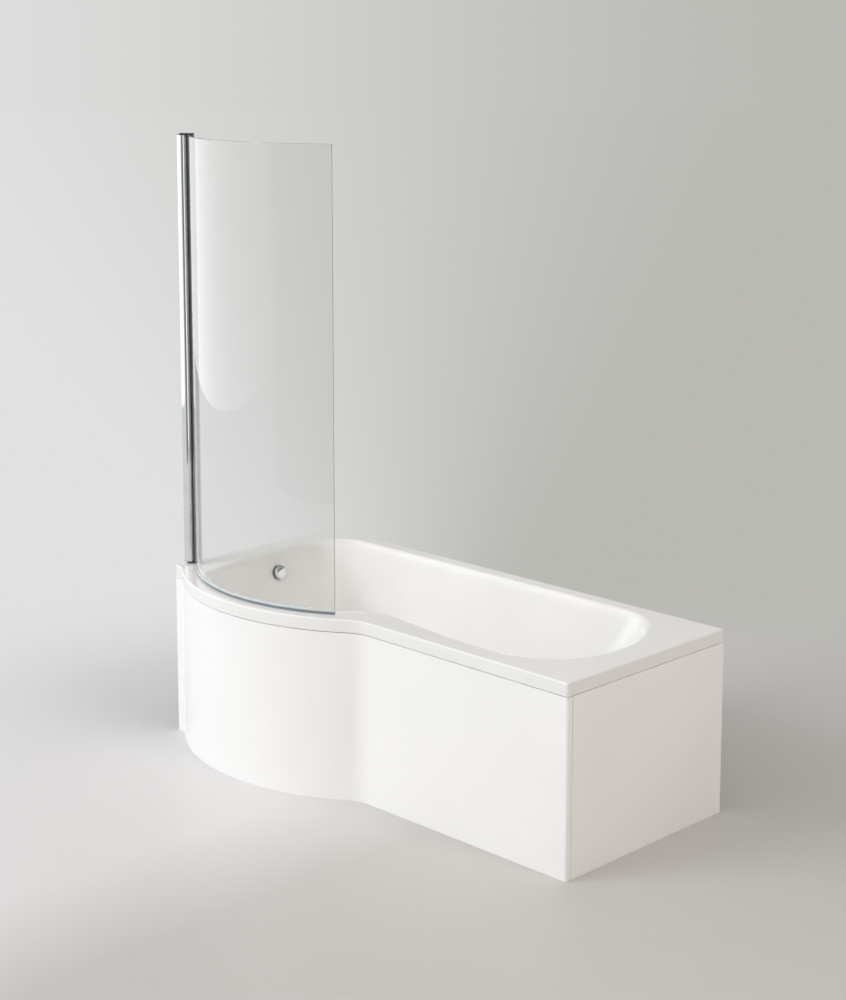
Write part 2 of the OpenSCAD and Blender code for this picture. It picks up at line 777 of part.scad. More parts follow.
module wall_bracket_screws() {
    color("silver")
    for (x = bracket_x, side = [-1, 1])
        translate([x + side * bracket_screw_step / 2, batten_back_y - bracket_t, bracket_screw_z])
            rotate([-90, 0, 0]) {
                rod(2, 0, bracket_t + 15);
                rod(4, -2.2, 0);
            }
}

// --- Waste ---------------------------------------------------------------------------------

// The flange with its threaded tube and the bars that guide the plug's stem
module waste_flange() {
    flange_z = seat_z + washer_t;
    color("silver")
    at_waste() {
        difference() {
            rotate_extrude() polygon([
                [0, tube_end], [waste_tube_r, tube_end], [waste_tube_r, flange_z],
                [flange_r, flange_z], [flange_r, flange_top - 1], [flange_r - 4, flange_top],
                [0, flange_top]
            ]);
            rod(waste_bore_r, tube_end + 4, flange_top + 1);
            for (a = [0:90:270])
                rotate([0, 0, a])
                    translate([2, 2, tube_end - 1])
                        intersection() {
                            cube([20, 20, 6]);
                            translate([-2, -2, 0]) tube(waste_bore_r, 7, -1, 7);
                        }
            rod(4 + running, tube_end - 1, tube_end + 5);
        }
    }
}

module waste_top_washer() {
    color("white")
    at_waste() tube(flange_r - 1, waste_tube_r + fit, seat_z, seat_z + washer_t);
}

module waste_lower_washer() {
    color("dimgray")
    at_waste() tube(32, waste_tube_r + fit, board_top - 3, board_top);
}

module waste_back_nut() {
    color("white")
    at_waste()
        difference() {
            translate([0, 0, body_top]) cylinder(r = 34, h = board_top - 3 - body_top, $fn = 8);
            rod(waste_tube_r + running, body_top - 1, board_top);
        }
}

module waste_body() {
    color("whitesmoke")
    at_waste()
        difference() {
            union() {
                rod(30, body_bottom, body_top);
                rod(24, spigot_end, body_bottom + 1);
                translate([0, 0, inlet_z]) rotate([0, -90, 0]) rod(hose_r - 3, 20, 58);
                translate([0, -cable_side, inlet_z - 6]) rotate([0, -90, 0]) rod(5, 10, 44);
            }
            rod(waste_tube_r + running, tube_end, body_top + 1);
            rod(waste_bore_r, body_bottom + 4, tube_end + 1);
            rod(17, spigot_end - 1, body_bottom + 5);
            translate([0, 0, inlet_z]) rotate([0, -90, 0]) rod(hose_r - 5, 15, 59);
            translate([0, -cable_side, inlet_z - 6]) rotate([0, -90, 0]) rod(cable_r + running, 24, 45);
        }
}

module plug_head() {
    z = flange_top + 2;
    color("silver")
    at_waste() rotate_extrude() polygon([
        [0, z], [plug_r - 2, z], [plug_r, z + 1.5], [plug_r - 1, z + 3], [plug_r - 6, z + 4.5],
        [plug_r - 15, z + 5.6], [0, z + 6]
    ]);
}

module plug_seal() {
    color("dimgray")
    at_waste() tube(plug_r - 4, 4 + running, flange_top, flange_top + 2);
}

module plug_stem() {
    color("silver")
    at_waste() rod(4, tube_end - plug_lift - 6, flange_top + 2);
}

module trap_union_nut() {
    color("white")
    at_waste()
        difference() {
            translate([0, 0, spigot_end - 8]) cylinder(r = 28.5, h = 20, $fn = 12);
            rod(trap_r + fit, spigot_end - 9, spigot_end - 4);
            rod(24 + running, spigot_end - 5, spigot_end + 13);
        }
}

module trap_washer() {
    color("dimgray")
    at_waste() tube(23.7, 18, spigot_end - 2.5, spigot_end);
}

// The course of the trap from the waste down, round and out to the back, r is its radius
module trap_course(r, over) {
    rod(r, bend_z, spigot_end - 2.5 + over);
    translate([0, bend_r, bend_z]) rotate([90, 0, 90])
        rotate_extrude(angle = 180, start = 180) translate([bend_r, 0]) circle(r);
    translate([0, 2 * bend_r, 0]) rod(r, bend_z, bend_z + 10);
    translate([0, 3 * bend_r, bend_z + 10]) rotate([90, 0, 90])
        rotate_extrude(angle = 90, start = 90) translate([bend_r, 0]) circle(r);
    translate([0, 3 * bend_r, outlet_z]) rotate([-90, 0, 0]) rod(r, 0, socket_y - 3 * bend_r + 4);
}

module trap_bend() {
    color("white")
    at_waste()
        difference() {
            union() {
                trap_course(trap_r, 0);
                rod(23.7, spigot_end - 4.8, spigot_end - 2.5);
                translate([0, socket_y, outlet_z]) rotate([-90, 0, 0]) rod(25, 0, pipe_depth + 2);
            }
            trap_course(trap_bore, 1);
            translate([0, socket_y, outlet_z]) rotate([-90, 0, 0]) rod(pipe_r, 2, pipe_depth + 3);
        }
}

module trap_outlet_nut() {
    end = socket_y + pipe_depth + 2;
    color("white")
    at_waste() translate([0, 0, outlet_z]) rotate([-90, 0, 0])
        difference() {
            translate([0, 0, end - 12]) cylinder(r = 30, h = 22, $fn = 12);
            rod(25 + running, end - 13, end + 5);
            rod(pipe_r, end, end + 11);
        }
}

module trap_outlet_seal() {
    end = socket_y + pipe_depth + 2;
    color("dimgray")
    at_waste() translate([0, 0, outlet_z]) rotate([-90, 0, 0]) tube(24.8, pipe_r, end, end + 5);
}

// --- Overflow ------------------------------------------------------------------------------

// A cup behind the wall with a nose through it, an outlet for the hose, a gland for the cable,
// and a hub on three spokes that carries the spindle
module overflow_body() {
    color("whitesmoke")
    at_overflow()
        difference() {
            union() {
                difference() {
                    union() {
                        rotate_extrude() polygon([
                            [0, -40], [cup_r - 2, -40], [cup_r, -38], [cup_r, back_pad - 3],
                            [nose_r, back_pad - 3], [nose_r, ring_h - 2], [0, ring_h - 2]
                        ]);
                        translate([0, 0, outlet_depth]) rotate([0, 90, 0]) rod(hose_r - 3, 20, 52);
                        translate([0, -cable_side, outlet_depth]) rotate([0, 90, 0]) rod(5, 5, 38);
                    }
                    rod(nose_r - 3, -10, ring_h);
                    rod(cup_r - 4, -37, -9.5);
                    translate([0, 0, outlet_depth]) rotate([0, 90, 0]) rod(hose_r - 5, 15, 53);
                }
                rod(7, -38.5, -5);
                for (a = [0:120:240]) rotate([0, 0, a]) block([5, -1.5, -8.5], [nose_r - 1.5, 1.5, -5.5]);
            }
            rod(4 + running, -36, 0);
            translate([0, -cable_side, outlet_depth]) rotate([0, 90, 0]) rod(cable_r + running, 20, 39);
        }
}

module overflow_washer() {
    color("dimgray")
    at_overflow() tube(cup_r - 1, nose_r + fit, back_pad - 3, back_pad);
}

// The ring stands on the wall of the basin and lets the water in through its slots
module overflow_ring() {
    color("gray")
    at_overflow()
        difference() {
            tube(ring_r, nose_r + fit, 0, ring_h);
            for (a = [0:20:340])
                rotate([0, 0, a]) block([nose_r - 2, -1.5, 3], [ring_r + 1, 1.5, ring_h - 2]);
        }
}

module overflow_knob() {
    color("silver")
    at_overflow()
        difference() {
            rotate_extrude() polygon([
                [0, ring_h + 0.5], [knob_r - 1, ring_h + 0.5], [knob_r, ring_h + 1.5],
                [knob_r, knob_standoff - 4],
                [knob_r - 1.5, knob_standoff - 2], [knob_r - 5, knob_standoff - 0.8],
                [knob_r - 12, knob_standoff - 0.2], [0, knob_standoff]
            ]);
            rod(4, ring_h - 1, knob_standoff - 4);
        }
}

module overflow_spindle() {
    color("silver")
    at_overflow() {
        rod(4, -35.5, knob_standoff - 4);
        rod(6, -2, ring_h + 0.5);
    }
}

// The hose runs down behind the basin's wall and turns to the waste
hose_bend = 60;
hose_top = overflow_c + overflow_out * outlet_depth + overflow_down * 28;
hose_turn_z = inlet_z + hose_bend * (1 - sin(wall_lean));
hose_length = (hose_top.z - hose_turn_z) / cos(wall_lean);
hose_turn = hose_top + overflow_down * hose_length;
hose_turn_c = [hose_turn.x + hose_bend * cos(wall_lean), y_mid, inlet_z + hose_bend];

module hose_course(r, over, cuff) {
    translate(hose_top) rotate([0, 180 - wall_lean, 0]) {
        rod(r, -over, hose_length);
        rod(cuff, hose_length - 2, hose_length + 2);
    }
    translate(hose_turn_c) rotate([90, 0, 0])
        rotate_extrude(angle = 90 - wall_lean, start = 180 + wall_lean)
            translate([hose_bend, 0]) circle(r);
    translate([hose_turn_c.x, y_mid, inlet_z]) rotate([0, 90, 0])
        rod(r, 0, waste.x - 32 - hose_turn_c.x + over);
}

module overflow_hose() {
    color("gainsboro")
    difference() {
        hose_course(hose_r, 0, hose_r + 1);
        hose_course(hose_r - 3 + running, 1, hose_r - 2.7);
    }
}

module hose_clips() {
    color("silver") {
        at_overflow() translate([0, 0, outlet_depth])
            rotate([0, 90, 0]) tube(hose_r + 1.5, hose_r + running, 34, 44);
        translate([waste.x - 50, y_mid, inlet_z])
            rotate([0, 90, 0]) tube(hose_r + 1.5, hose_r + running, 0, 10);
    }
}

// The cable leaves the overflow's gland, bends round behind the basin and enters the waste body
cable_top = overflow_c + overflow_out * outlet_depth + [0, -cable_side, 0];
cable_end = [waste.x, y_mid - cable_side, inlet_z - 6];
cable_route = [
    cable_top + overflow_down * 21, cable_top + overflow_down * 45, cable_top + overflow_down * 150,
    cable_top + overflow_down * 280, cable_end + [-152, -15, 72], cable_end + [-124, -13, 18],
    cable_end + [-92, -5, 1], cable_end + [-64, 0, 0], cable_end + [-45, 0, 0], cable_end + [-25, 0, 0]
];
cable_steps = 5;
cable_sides = 8;

// A point on a smooth curve through the route, from point i to point i + 1
function curve_point(p, i, t) =
    let (
        a = p[max(i - 1, 0)],
        b = p[i],
        c = p[i + 1],
        d = p[min(i + 2, len(p) - 1)]
    )
    (2 * b + (c - a) * t + (2 * a - 5 * b + 4 * c - d) * pow(t, 2)
        + (3 * b - a - 3 * c + d) * pow(t, 3)) / 2;

module control_cable() {
    line = concat(
        [for (i = [0:len(cable_route) - 2], s = [0:cable_steps - 1])
            curve_point(cable_route, i, s / cable_steps)],
        [cable_route[len(cable_route) - 1]]
    );
    last = len(line) - 1;
    rings = [for (i = [0:last])
        let (
            along = unit(line[min(i + 1, last)] - line[max(i - 1, 0)]),
            side = unit(cross(along, [0, 1, 0])),
            up = cross(side, along)
        )
        [for (s = [0:cable_sides - 1])
            let (a = 360 * s / cable_sides)
            line[i] + cable_r * (side * cos(a) + up * sin(a))]];
    n = cable_sides;
    color("black")
    polyhedron(
        points = [for (r = rings) each r],
        faces = concat(
            [[for (i = [n - 1:-1:0]) i]],
            [for (k = [0:last - 1]) each band(k * n, (k + 1) * n, n)],
            [[for (i = [0:n - 1]) last * n + i]]
        )
    );
}

// --- Screen --------------------------------------------------------------------------------

module wall_channel() {
    y0 = hinge.y - channel_w / 2;
    y1 = hinge.y + channel_w / 2;
    color("silver")
    difference() {
        block([x_wall, y0, channel_bottom], [hinge.x, y1, channel_top]);
        block([x_wall + channel_t, y0 + channel_t, channel_bottom - 1],
            [hinge.x + 1, y1 - channel_t, channel_top + 1]);
        for (i = [0:channel_holes - 1])
            translate([x_wall - 1, hinge.y, channel_first_hole + i * channel_hole_step])
                rotate([0, 90, 0]) cylinder(r = channel_hole_r, h = channel_t + 2);
        side_screws(1.55);
    }
}

side_screw_z = [for (i = [0:2]) channel_bottom + 30 + i * (channel_top - channel_bottom - 60) / 2];

module side_screws(r) {
    for (z = side_screw_z)
        translate([hinge.x - 7, hinge.y + post_w / 2, z]) rotate([90, 0, 0]) cylinder(r = r, h = 6);
}

module hinge_post() {
    z0 = post_bottom + bush_flange;
    z1 = post_top - bush_flange;
    r0 = post_w / 2 - post_t;
    r1 = post_w / 2;
    color("silver")
    difference() {
        union() {
            sector(hinge, r0, r1, -90, 90, z0, z1);
            block([x_wall, hinge.y - r1, z0], [hinge.x, hinge.y - r0, z1]);
            block([x_wall, hinge.y + r0, z0], [hinge.x, hinge.y + r1, z1]);
        }
        side_screws(1.8);
    }
}

module post_side_screws() {
    color("silver") {
        side_screws(1.5);
        for (z = side_screw_z)
            translate([hinge.x - 7, hinge.y + post_w / 2 + 1.6, z])
                rotate([90, 0, 0]) cylinder(r = 3, h = 1.6);
    }
}

// A plug in the end of the post with a flange over its edge, z is the flange's outer face
module pivot_bush(z, way) {
    r = post_w / 2;
    flange = [min(z, z + way * bush_flange), max(z, z + way * bush_flange)];
    plug = [min(z, z + way * bush_depth), max(z, z + way * bush_depth)];
    color("dimgray")
    difference() {
        union() {
            sector(hinge, 0, r, -90, 90, flange[0], flange[1]);
            block([x_wall, hinge.y - r, flange[0]], [hinge.x, hinge.y + r, flange[1]]);
            translate([hinge.x, hinge.y, 0]) rod(r - post_t - running, plug[0], plug[1]);
        }
        translate([hinge.x, hinge.y, 0]) rod(pivot_r + running, plug[0] - 1, plug[1] + 1);
    }
}

module pivot_bush_top() pivot_bush(post_top, -1);
module pivot_bush_bottom() pivot_bush(post_bottom, 1);

// The outline of the glass's profile between two heights
module holder_block(z0, z1) {
    block([holder_back, holder_y - holder_w / 2, z0], [holder_front, holder_y + holder_w / 2, z1]);
}

module arm_plate(z0, z1) {
    rod(arm_r, z0, z1);
    block([holder_back, 0, z0], [arm_r - 2, holder_y, z1]);
    holder_block(z0, z1);
}

module glass_slot(half, z0, z1) {
    block([0, holder_y - half, z0], [holder_front + 1, holder_y + half, z1]);
}

module hinge_arm_top() {
    color("dimgray")
    at_hinge()
        difference() {
            union() {
                arm_plate(glass_top, glass_top + arm_t);
                holder_block(glass_top + arm_t - cap_h, glass_top + 1);
                rod(pivot_r, post_top - 14, glass_top + 1);
            }
            glass_slot(glass_t / 2 + fit, glass_top + arm_t - cap_h - 1, glass_top);
        }
}

module hinge_arm_bottom() {
    top = post_bottom - 0.3;
    color("dimgray")
    at_hinge() {
        arm_plate(top - arm_t, top);
        rod(pivot_r, top - 1, top + 14);
    }
}

holder_bottom = post_bottom - 0.3;
holder_top = glass_top + arm_t - cap_h;

module glass_holder() {
    color("silver")
    at_hinge()
        difference() {
            holder_block(holder_bottom, holder_top);
            glass_slot(5, holder_bottom - 1, holder_top + 1);
        }
}

module glazing_gasket() {
    color("dimgray")
    at_hinge()
        difference() {
            block([running, holder_y - 5 + running, holder_bottom],
                [holder_front, holder_y + 5 - running, holder_top]);
            block([1.5, holder_y - glass_t / 2 - 0.2, holder_bottom + 1.9],
                [holder_front + 1, holder_y + glass_t / 2 + 0.2, holder_top + 1]);
        }
}

glass_c = [glass_start, holder_y + glass_radius];
glass_from = -90 - asin((glass_start - 2) / glass_radius);
glass_turn = glass_w / glass_radius * 180 / PI;

module screen_glass() {
    color("lightblue", 0.5)
    at_hinge()
        sector(glass_c, glass_radius - glass_t / 2, glass_radius + glass_t / 2,
            glass_from, glass_from + glass_turn, glass_bottom, glass_top);
}

// A clip-on seal along the glass's lower edge with a fin down to the rim
module screen_bottom_seal() {
    from = -90 + asin((holder_front + 1 - glass_start) / glass_radius);
    inner = glass_t / 2 + running;
    outer = glass_t / 2 + 1.6;
    fin = rim_height + fit;
    color("aliceblue", 0.6)
    at_hinge()
        translate([glass_c.x, glass_c.y, 0])
            rotate_extrude(angle = glass_from + glass_turn - from, start = from)
                translate([glass_radius, 0]) polygon([
                    [-0.8, fin], [0.8, fin], [0.8, glass_bottom - 3], [outer, glass_bottom - 3],
                    [outer, glass_bottom + 9], [inner, glass_bottom + 9], [inner, glass_bottom],
                    [-inner, glass_bottom], [-inner, glass_bottom + 9], [-outer, glass_bottom + 9],
                    [-outer, glass_bottom - 3], [-0.8, glass_bottom - 3]
                ]);
}

bath_shell();
base_board();
rim_batten_back();
rim_batten_front();
rim_batten_open_end();
rim_batten_wall_end();
rim_batten_bow();
front_panel();
end_panel();
panel_clips();
panel_clip_screws();
floor_batten_front();
floor_batten_end();
floor_blocks_bow();
leg_bar_waste_end();
leg_bar_middle();
leg_bar_open_end();
leg_bar_screws();
foot_studs();
foot_adjusting_nuts();
foot_lock_nuts();
foot_pads();
wall_brackets();
wall_bracket_screws();
waste_flange();
waste_top_washer();
waste_lower_washer();
waste_back_nut();
waste_body();
plug_head();
plug_seal();
plug_stem();
trap_union_nut();
trap_washer();
trap_bend();
trap_outlet_nut();
trap_outlet_seal();
overflow_body();
overflow_washer();
overflow_ring();
overflow_knob();
overflow_spindle();
overflow_hose();
hose_clips();
control_cable();
wall_channel();
hinge_post();
post_side_screws();
pivot_bush_top();
pivot_bush_bottom();
hinge_arm_top();
hinge_arm_bottom();
glass_holder();
glazing_gasket();
screen_glass();
screen_bottom_seal();
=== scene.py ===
"""The looks of a P-shaped shower bath: its moulded acrylic, panels, frame, waste and curved screen,
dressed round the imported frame. Sizes below are in millimetres, as in the part's source."""

import json
from math import asin, atan2, cos, degrees, pi, radians, sin, sqrt, tan

import bmesh
import bpy
from mathutils import Matrix, Vector


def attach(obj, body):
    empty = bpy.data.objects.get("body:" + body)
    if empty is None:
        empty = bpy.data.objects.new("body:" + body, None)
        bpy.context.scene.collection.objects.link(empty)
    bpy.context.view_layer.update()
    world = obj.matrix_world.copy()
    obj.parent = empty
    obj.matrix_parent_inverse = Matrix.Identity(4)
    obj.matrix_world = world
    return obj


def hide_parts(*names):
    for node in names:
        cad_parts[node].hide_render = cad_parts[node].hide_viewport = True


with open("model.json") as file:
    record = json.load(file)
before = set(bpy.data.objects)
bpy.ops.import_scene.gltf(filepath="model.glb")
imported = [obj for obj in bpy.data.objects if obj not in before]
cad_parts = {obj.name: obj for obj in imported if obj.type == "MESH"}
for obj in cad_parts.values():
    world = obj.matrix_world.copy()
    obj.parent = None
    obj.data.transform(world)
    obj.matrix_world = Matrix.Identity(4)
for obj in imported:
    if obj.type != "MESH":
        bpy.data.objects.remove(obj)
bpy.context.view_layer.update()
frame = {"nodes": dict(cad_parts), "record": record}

MM = 0.001
NODES = frame["nodes"]
SLOT_OF = {part["node"]: part["material_slot"] for part in frame["record"]["subparts"]}
BODY_OF = {node: body for body, group in frame["record"]["behaviour"]["bodies"].items() for node in group}


# --- Camera, light and floor ---------------------------------------------------------------

def linear(hex_colour, alpha=1.0):
    """A linear colour from an sRGB hex value."""
    channels = [int(hex_colour[i:i + 2], 16) / 255 for i in (1, 3, 5)]
    return tuple(c / 12.92 if c <= 0.04045 else ((c + 0.055) / 1.055) ** 2.4 for c in channels) + (alpha,)


def add(tree, kind, inputs=None, **settings):
    """Adds one shader node: its settings, then its inputs, each a value or another node's output."""
    node = tree.nodes.new("ShaderNode" + kind)
    for name, value in settings.items():
        setattr(node, name, value)
    for name, value in (inputs or {}).items():
        if isinstance(value, bpy.types.NodeSocket):
            tree.links.new(value, node.inputs[name])
        else:
            node.inputs[name].default_value = value
    return node


def spread(tree, value, low, high, to_low=0.0, to_high=1.0, easing="LINEAR"):
    """Maps a value between low and high to another range, and holds it there at both ends."""
    return add(tree, "MapRange", {
        "Value": value, "From Min": low, "From Max": high, "To Min": to_low, "To Max": to_high,
    }, interpolation_type=easing).outputs[0]


def tone(tree, fac, low, high, low_at=0.35, high_at=0.65):
    """A colour that runs from low to high as fac goes between two values."""
    ramp = add(tree, "ValToRGB", {"Fac": fac})
    ramp.color_ramp.elements[0].position = low_at
    ramp.color_ramp.elements[0].color = linear(low)
    ramp.color_ramp.elements[1].position = high_at
    ramp.color_ramp.elements[1].color = linear(high)
    return ramp.outputs["Color"]


def empty_material(name):
    """A material without nodes but its object coordinates."""
    material = bpy.data.materials.new(name)
    material.use_nodes = True
    tree = material.node_tree
    tree.nodes.clear()
    return material, tree, add(tree, "TexCoord").outputs["Object"]


def noise(tree, coords, scale, detail):
    """A cloudy pattern; a scale of 1 gives clouds about a metre across."""
    return add(tree, "TexNoise",
               {"Vector": coords, "Scale": scale, "Detail": detail}).outputs["Fac"]


# The camera, fitted to the corners of the rim and the screen in the photo: its place in metres, and
# how far it looks down and stands round from the bath's front, in degrees.
CAMERA_PLACE, CAMERA_DOWN, CAMERA_ROUND = (4.1477, -4.1224, 2.2688), 8.699, 44.998
CAMERA_LENS, CAMERA_SHIFT = 70.562, -0.16


def make_camera():
    """The camera that the photo was taken with."""
    data = bpy.data.cameras.new("photo_camera")
    data.sensor_width = 36
    data.lens = CAMERA_LENS
    data.shift_y = CAMERA_SHIFT
    data.clip_end = 100
    camera = bpy.data.objects.new("photo_camera", data)
    camera.location = CAMERA_PLACE
    camera.rotation_euler = (radians(90 - CAMERA_DOWN), 0, radians(CAMERA_ROUND))
    bpy.context.scene.collection.objects.link(camera)
    bpy.context.scene.camera = camera


def make_lamp(name, place, target, width, height, watts, colour):
    """A rectangular softbox at a place in metres, turned towards its target."""
    data = bpy.data.lights.new(name, "AREA")
    data.shape = "RECTANGLE"
    data.size = width
    data.size_y = height
    data.energy = watts
    data.color = linear(colour)[:3]
    lamp = bpy.data.objects.new(name, data)
    lamp.location = place
    lamp.rotation_euler = (Vector(target) - Vector(place)).to_track_quat("-Z", "Y").to_euler()
    lamp.visible_transmission = False  # light through the glass comes by its shadow rays alone
    bpy.context.scene.collection.objects.link(lamp)
    return lamp


LIT_SIDE, SHADE_SIDE = "#E1E1E1", "#BAB9B4"
PICTURE_RIGHT = (0.7, 0.714, 0)         # the level direction to the right of the picture
LIGHT_FROM = (-0.72, -0.69, 0.1)        # the side of the studio that its light comes from
PICTURE_FLOOR = (0.5, -0.5, 0)          # the middle of the floor that the picture shows, in metres


def backdrop_colour(tree, direction):
    """The studio's backdrop, lit from the left of the photo: paler there, darker to its right."""
    level = add(tree, "VectorMath", {0: direction, 1: (1, 1, 0)}, operation="MULTIPLY")
    flat = add(tree, "VectorMath", {0: level.outputs[0]}, operation="NORMALIZE")
    across = add(tree, "VectorMath", {0: flat.outputs[0], 1: PICTURE_RIGHT},
                 operation="DOT_PRODUCT")
    share = spread(tree, across.outputs["Value"], -0.32, 0.24, easing="SMOOTHSTEP")
    return tone(tree, share, LIT_SIDE, SHADE_SIDE, 0.0, 1.0)


def make_world():
    """The studio: a soft light on the object, and behind it the backdrop that the camera sees."""
    world = bpy.data.worlds.new("studio")
    bpy.context.scene.world = world
    world.use_nodes = True
    tree = world.node_tree
    tree.nodes.clear()
    path = add(tree, "LightPath")
    direction = add(tree, "TexCoord").outputs["Generated"]
    seen = add(tree, "Math",
               {0: path.outputs["Is Camera Ray"], 1: path.outputs["Is Transmission Ray"]},
               operation="MAXIMUM")
    lit = add(tree, "VectorMath", {0: direction, 1: LIGHT_FROM}, operation="DOT_PRODUCT")
    strength = spread(tree, lit.outputs["Value"], -1.0, 1.0, 0.2, 0.86)
    light = add(tree, "Background", {"Color": linear("#F6F6F6"), "Strength": strength})
    backdrop = add(tree, "Background", {"Color": backdrop_colour(tree, direction), "Strength": 1.0})
    mix = add(tree, "MixShader", {0: seen.outputs[0], 1: light.outputs[0], 2: backdrop.outputs[0]})
    add(tree, "OutputWorld", {"Surface": mix.outputs[0]})


def make_floor():
    """The studio's floor, its colour painted paler on the lit side and darker on the other, that runs out
    into the backdrop.
    """
    bpy.ops.object.select_all(action="DESELECT")
    bpy.ops.mesh.primitive_circle_add(vertices=96, radius=60, fill_type="NGON", location=(0, 0, 0))
    floor = bpy.context.object
    floor.name = "studio_floor"
    material, tree, coords = empty_material("sealed_studio_floor")
    cloud = noise(tree, coords, 0.7, 1.0)
    rough = spread(tree, cloud, 0.0, 1.0, 0.4, 0.42)
    place = add(tree, "SeparateXYZ", {0: coords})
    # Painted light and shade: the floor's base colour is painted paler toward -X, the lit side, and
    # darker toward +X, the shaded side.
    colour = tone(tree, spread(tree, place.outputs["X"], -0.7, 0.9), "#DCDCDC", "#C3C2BF")
    surface = add(tree, "BsdfPrincipled", {"Base Color": colour, "Roughness": rough, "IOR": 1.45})
    away = add(tree, "VectorMath", {0: coords, 1: PICTURE_FLOOR}, operation="DISTANCE")
    far = spread(tree, away.outputs["Value"], 1.1, 3.2, easing="SMOOTHERSTEP")
    backdrop = add(tree, "Emission", {"Color": backdrop_colour(tree, coords)})
    mix = add(tree, "MixShader", {0: far, 1: surface.outputs[0], 2: backdrop.outputs[0]})
    add(tree, "OutputMaterial", {"Surface": mix.outputs[0]})
    floor.data.materials.append(material)


def make_card(name, start, end, low, high, near, far):
    """An upright card that only polished surfaces see, its light running from near to far along it.

    Its two ends fade out, so that it leaves no hard upright edge in the glass.
    """
    start, end = Vector(start), Vector(end)
    along = end - start
    bpy.ops.object.select_all(action="DESELECT")
    bpy.ops.mesh.primitive_plane_add(size=1, location=(*(start + end) / 2, (low + high) / 2),
                                     rotation=(pi / 2, 0, atan2(along.y, along.x)))
    card = bpy.context.object
    card.name = name
    card.scale = (along.length, high - low, 1)
    card.visible_camera = card.visible_diffuse = card.visible_transmission = card.visible_shadow = False
    material, tree, coords = empty_material(name)
    place = add(tree, "SeparateXYZ", {0: coords})
    strength = spread(tree, place.outputs["X"], -0.2, 0.5, near, far)
    light = add(tree, "Emission", {"Color": linear("#FFFFFF"), "Strength": strength})
    from_middle = add(tree, "Math", {0: place.outputs["X"]}, operation="ABSOLUTE")
    cover = spread(tree, from_middle.outputs[0], 0.5, 0.35, easing="SMOOTHSTEP")
    clear = add(tree, "BsdfTransparent")
    mix = add(tree, "MixShader", {0: cover, 1: clear.outputs[0], 2: light.outputs[0]})
    add(tree, "OutputMaterial", {"Surface": mix.outputs[0]})
    card.data.materials.append(material)


make_camera()
make_world()
make_floor()
# Cards, in metres: where each starts and ends on the floor, its lower and upper edge, and its light
# near the start and near the end. They stand where the glass and the chrome reflect them.
make_card("white_card_left", (-5.6, 2.0), (-0.5, -7.0), 0.52, 3.6, 1.75, 0.3)
make_card("grey_flag_front", (-1.3, -2.9), (1.25, -2.38), 0.35, 3.2, 0.32, 0.08)
make_card("white_card_right", (1.26, -2.37), (1.98, 0.8), 0.4, 3.2, 1.6, 1.6)
make_card("black_flag_back", (1.88, 1.05), (-0.06, 2.68), 0.6, 3.0, 0.2, 0.05)
# Lamps, in metres: place, target, width, height, then watts and colour.
make_lamp("softbox_front", (-3.6, -7.2, 4.8), (-0.2, 0, 0.5), 4.6, 3.2, 360, "#FDFDFF")
make_lamp("softbox_right", (4.8, -0.4, 4.2), (0.2, 0, 0.4), 2.4, 2.0, 118, "#FFF2E8")
# The left softbox is seen in polished surfaces as the soft-edged card that stands in its place.
softbox_left = make_lamp("softbox_left", (-5.2, -3.0, 1.92), (0, -3.0, 1.92), 7.0, 2.96,
                         24, "#FFFFFF")
softbox_left.visible_glossy = False

bpy.context.scene.view_settings.view_transform = "Standard"


# --- Materials -----------------------------------------------------------------------------

def surface_material(name):
    """A material with its object coordinates and the Principled shader ready."""
    material, tree, coords = empty_material(name)
    shader = add(tree, "BsdfPrincipled")
    add(tree, "OutputMaterial", {"Surface": shader.outputs[0]})
    return material, tree, coords, shader


def set_shader(shader, **values):
    """Sets constants on the shader's own sockets, such as ior or transmission_weight."""
    for name, value in values.items():
        shader.inputs[name.replace("_", " ").title().replace("Ior", "IOR")].default_value = value


def paint(tree, shader, fac, low, high, low_at=0.35, high_at=0.65):
    """Base colour that runs from low to high with fac."""
    tree.links.new(tone(tree, fac, low, high, low_at, high_at), shader.inputs["Base Color"])


def roughen(tree, shader, fac, low, high):
    """Roughness that runs from low to high with fac."""
    tree.links.new(spread(tree, fac, 0.0, 1.0, low, high), shader.inputs["Roughness"])


def dent(tree, shader, height, strength, depth):
    """Bumps that follow height, up to a depth in metres."""
    bump = add(tree, "Bump", {"Height": height, "Strength": strength, "Distance": depth})
    tree.links.new(bump.outputs[0], shader.inputs["Normal"])


def cast_acrylic():
    """Vacuum-formed cast acrylic sheet: deep white gloss with the faint waviness of the mould."""
    material, tree, coords, shader = surface_material("vacuum_formed_cast_acrylic")
    set_shader(shader, ior=1.49)
    cloud = noise(tree, coords, 3.0, 2.0)
    paint(tree, shader, cloud, "#EAEAE8", "#EEEEED")
    film = noise(tree, coords, 45.0, 4.0)
    roughen(tree, shader, film, 0.05, 0.1)
    waves = noise(tree, coords, 11.0, 1.0)  # about 90 mm long and 0.03 mm deep
    dent(tree, shader, waves, 0.2, 0.0005)
    return material


